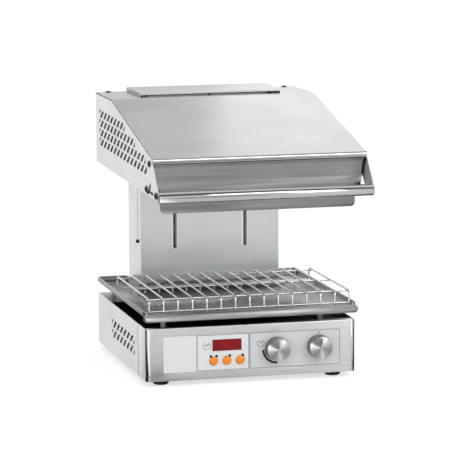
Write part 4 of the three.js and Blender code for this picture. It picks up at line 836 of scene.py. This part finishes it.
# The shadow lines along the cover.
# A black strip lies in the joint between each side sheet and the cover, along its whole edge.
# It stands slightly proud and is painted shadow, a fine dark line for the joint's shadow gap.
SHADOW_LINE_NEAR, SHADOW_LINE_FAR = 198.6, 200.35
COVER_SHADOW_LINE = [(419.5, 491.9), (276, 491.9), (-57, 422.1), (-57, 420.1), (276.4, 489.9), (419.5, 489.9)]
# The same black is painted shadow in the joints and the black of the screws' washers.
black_silicone_and_shadow = grained("black_silicone_and_painted_shadow", 5, 3, ("#18191a", "#2a2b2c"), (0.5,))
on_both_sides("{}_cover_shadow_line", COVER_SHADOW_LINE, SHADOW_LINE_NEAR, SHADOW_LINE_FAR, black_silicone_and_shadow, "hood")

# The shadow lines in the base's side joints.
# The front panel wraps round both corners and meets the side sheets in an upright butt joint.
# A thin strip of the same black stands on it as painted shadow and draws a fine dark line down each side.
JOINT_SHADOW_FAR = 200.2
JOINT_SHADOW_LINE = [(65.3, 0.6), (67.3, 0.6), (67.3, 97.4), (65.3, 97.4)]
on_both_sides("base_{}_joint_shadow_line", JOINT_SHADOW_LINE, HALF_WIDTH, JOINT_SHADOW_FAR, black_silicone_and_shadow, "base")


# The dome-head screws.
# Blackened dome screws with rubber washers and bright sockets hold the bars and the shield to the sides.
# Two more hold the rear corners of the cover.
def screw_tree():
    tree = bpy.data.node_groups.new("repeated_domes", "GeometryNodeTree")
    sockets = {}
    for name, kind in (("Places", "NodeSocketGeometry"), ("Radius", "NodeSocketFloat"),
                       ("Height", "NodeSocketFloat"), ("Sides", "NodeSocketInt"),
                       ("Facing", "NodeSocketVector"), ("Material", "NodeSocketMaterial")):
        sockets[name] = tree.interface.new_socket(name, in_out="INPUT", socket_type=kind).identifier
    tree.interface.new_socket("Screws", in_out="OUTPUT", socket_type="NodeSocketGeometry")
    given = add_node(tree, "NodeGroupInput").outputs
    ball = add_node(tree, "GeometryNodeMeshUVSphere", {
        "Segments": given["Sides"], "Rings": DOME_RINGS, "Radius": 1})
    shape = add_node(tree, "ShaderNodeCombineXYZ", {
        0: given["Radius"], 1: given["Radius"], 2: given["Height"]})
    head = add_node(tree, "GeometryNodeTransform", {"Geometry": ball.outputs[0], "Scale": shape.outputs[0]})
    turn = add_node(tree, "FunctionNodeAlignRotationToVector", {"Vector": given["Facing"]}, axis="Z")
    copies = add_node(tree, "GeometryNodeInstanceOnPoints", {
        0: given["Places"], "Instance": head.outputs[0], "Rotation": turn.outputs[0]})
    whole = add_node(tree, "GeometryNodeRealizeInstances", {0: copies.outputs[0]})
    smooth = add_node(tree, "GeometryNodeSetShadeSmooth", {0: whole.outputs[0]})
    coated = add_node(tree, "GeometryNodeSetMaterial", {0: smooth.outputs[0], "Material": given["Material"]})
    add_node(tree, "NodeGroupOutput", {0: coated.outputs[0]})
    return tree, sockets


def screws(name, spots, dome, sides, facing, material):
    """A dome is its radius and its height."""
    points = [place(*spot) for spot in spots]
    radius, height = dome
    piece = grown(name, points, [], domes, dome_sockets, {
        "Radius": radius * MM, "Height": height * MM, "Sides": sides, "Facing": facing, "Material": material})
    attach(piece, "hood")


ROUND, NEARLY_ROUND, HEXAGON = 20, 16, 6
DOME_RINGS = 8
WASHER, HEAD, SOCKET, SMALL_HEAD = (6.8, 2.2), (5.4, 3.45), (2.4, 0.85), (3.2, 1.6)
COVER_WASHER, COVER_HEAD = (7.2, 0.9), (5.6, 3.0)
LARGE_SCREWS = ((-38.5, 408.3), (-14, 359.6), (-88.9, 356.6))
SMALL_SCREWS = ((-26, 354.4), (-60.5, 356.6))
SOCKET_HEIGHT = 2.6
COVER_SCREWS = [(-177, 412, 492), (177, 412, 492)]
UPWARD = (0.0, 0.0, 1.0)
domes, dome_sockets = screw_tree()
dark_screw = grained("blackened_screw_steel", 1.667, 3, ("#3c3d3e", "#5a5b5c"), (0.3,), Metallic=0.8)
for side, out in (("left", -1.0), ("right", 1.0)):
    facing = (out, 0.0, 0.0)
    large = [(out * HALF_WIDTH, y, z) for y, z in LARGE_SCREWS]
    small = [(out * HALF_WIDTH, y, z) for y, z in SMALL_SCREWS]
    in_heads = [(x + out * SOCKET_HEIGHT, y, z) for x, y, z in large]
    screws(side + "_screw_washers", large, WASHER, ROUND, facing, black_silicone_and_shadow)
    screws(side + "_screw_heads", large, HEAD, ROUND, facing, dark_screw)
    screws(side + "_screw_sockets", in_heads, SOCKET, HEXAGON, facing, polished_steel)
    screws(side + "_small_screws", small, SMALL_HEAD, NEARLY_ROUND, facing, black_enamel_and_shade)
screws("cover_screw_washers", COVER_SCREWS, COVER_WASHER, ROUND, UPWARD, black_silicone_and_shadow)
screws("cover_screw_heads", COVER_SCREWS, COVER_HEAD, ROUND, UPWARD, dark_screw)

# The shield and the bars.
# A curved sheet closes the front above a straight lip, behind two turned bars. Both are drawn darker than the
# other steel as painted shade, the lip the darker of the two.
# The bars are ground and polished, so they show the room as bright and dark lines along their length.
LIP_TOP = 362.3
ALONG_SHIELD = (HOOD_STROKE, 1.25, 1.25)
# Painted shade: the shield and its lip take darker copies of the brushed sheet.
shaded_shield_sheet = brushed_steel("brushed_shield_painted_shade", "#9c9e9e", ALONG_SHIELD, SLANTED, 0.34)
shaded_lip_sheet = brushed_steel("shield_lip_painted_shade", "#8b8c8b", ALONG_SHIELD, SLANTED, 0.36)
shield = smoothed("front_shield", "hood", shaded_shield_sheet)
lip_top = place(0, 0, LIP_TOP).z
repaint(shield, shaded_lip_sheet,
        lambda face: all(shield.data.vertices[corner].co.z < lip_top for corner in face.vertices))
smoothed("upper_bar", "hood", polished_steel)
smoothed("handle_bar", "hood", polished_steel)

# Under the hood.
# A folded reflector throws the heat of three bent tube elements down, through a ceramic holder.
# The element sheath is a nickel alloy that heat has turned brown, and the reflector is satin.
element_sheath = grained("heat_tinted_sheath", 40, 3, ("#3d3531", "#6b5a4c"), (0.45, 0.65), Metallic=0.6)
reflector_sheet = brushed_steel("satin_reflector", "#b4b5b5", (50, 2.5, 2.5), SLANTED, 0.42)
finish(reflector_sheet, "reflector", "hood_inner_back", "lift_carriage")
finish(steatite, "element_holder")
for side in ("left", "middle", "right"):
    smoothed(side + "_element", "hood", element_sheath)

# The vent cowl.
# A plate with folded edges stands over the exhaust on three blackened standoffs, open to the front.
# It is cut from the same brushed sheet as the cover.
finish(cover_sheet, "vent_cowl")
for side in ("left", "middle", "right"):
    smoothed(side + "_standoff", "hood", dark_screw)
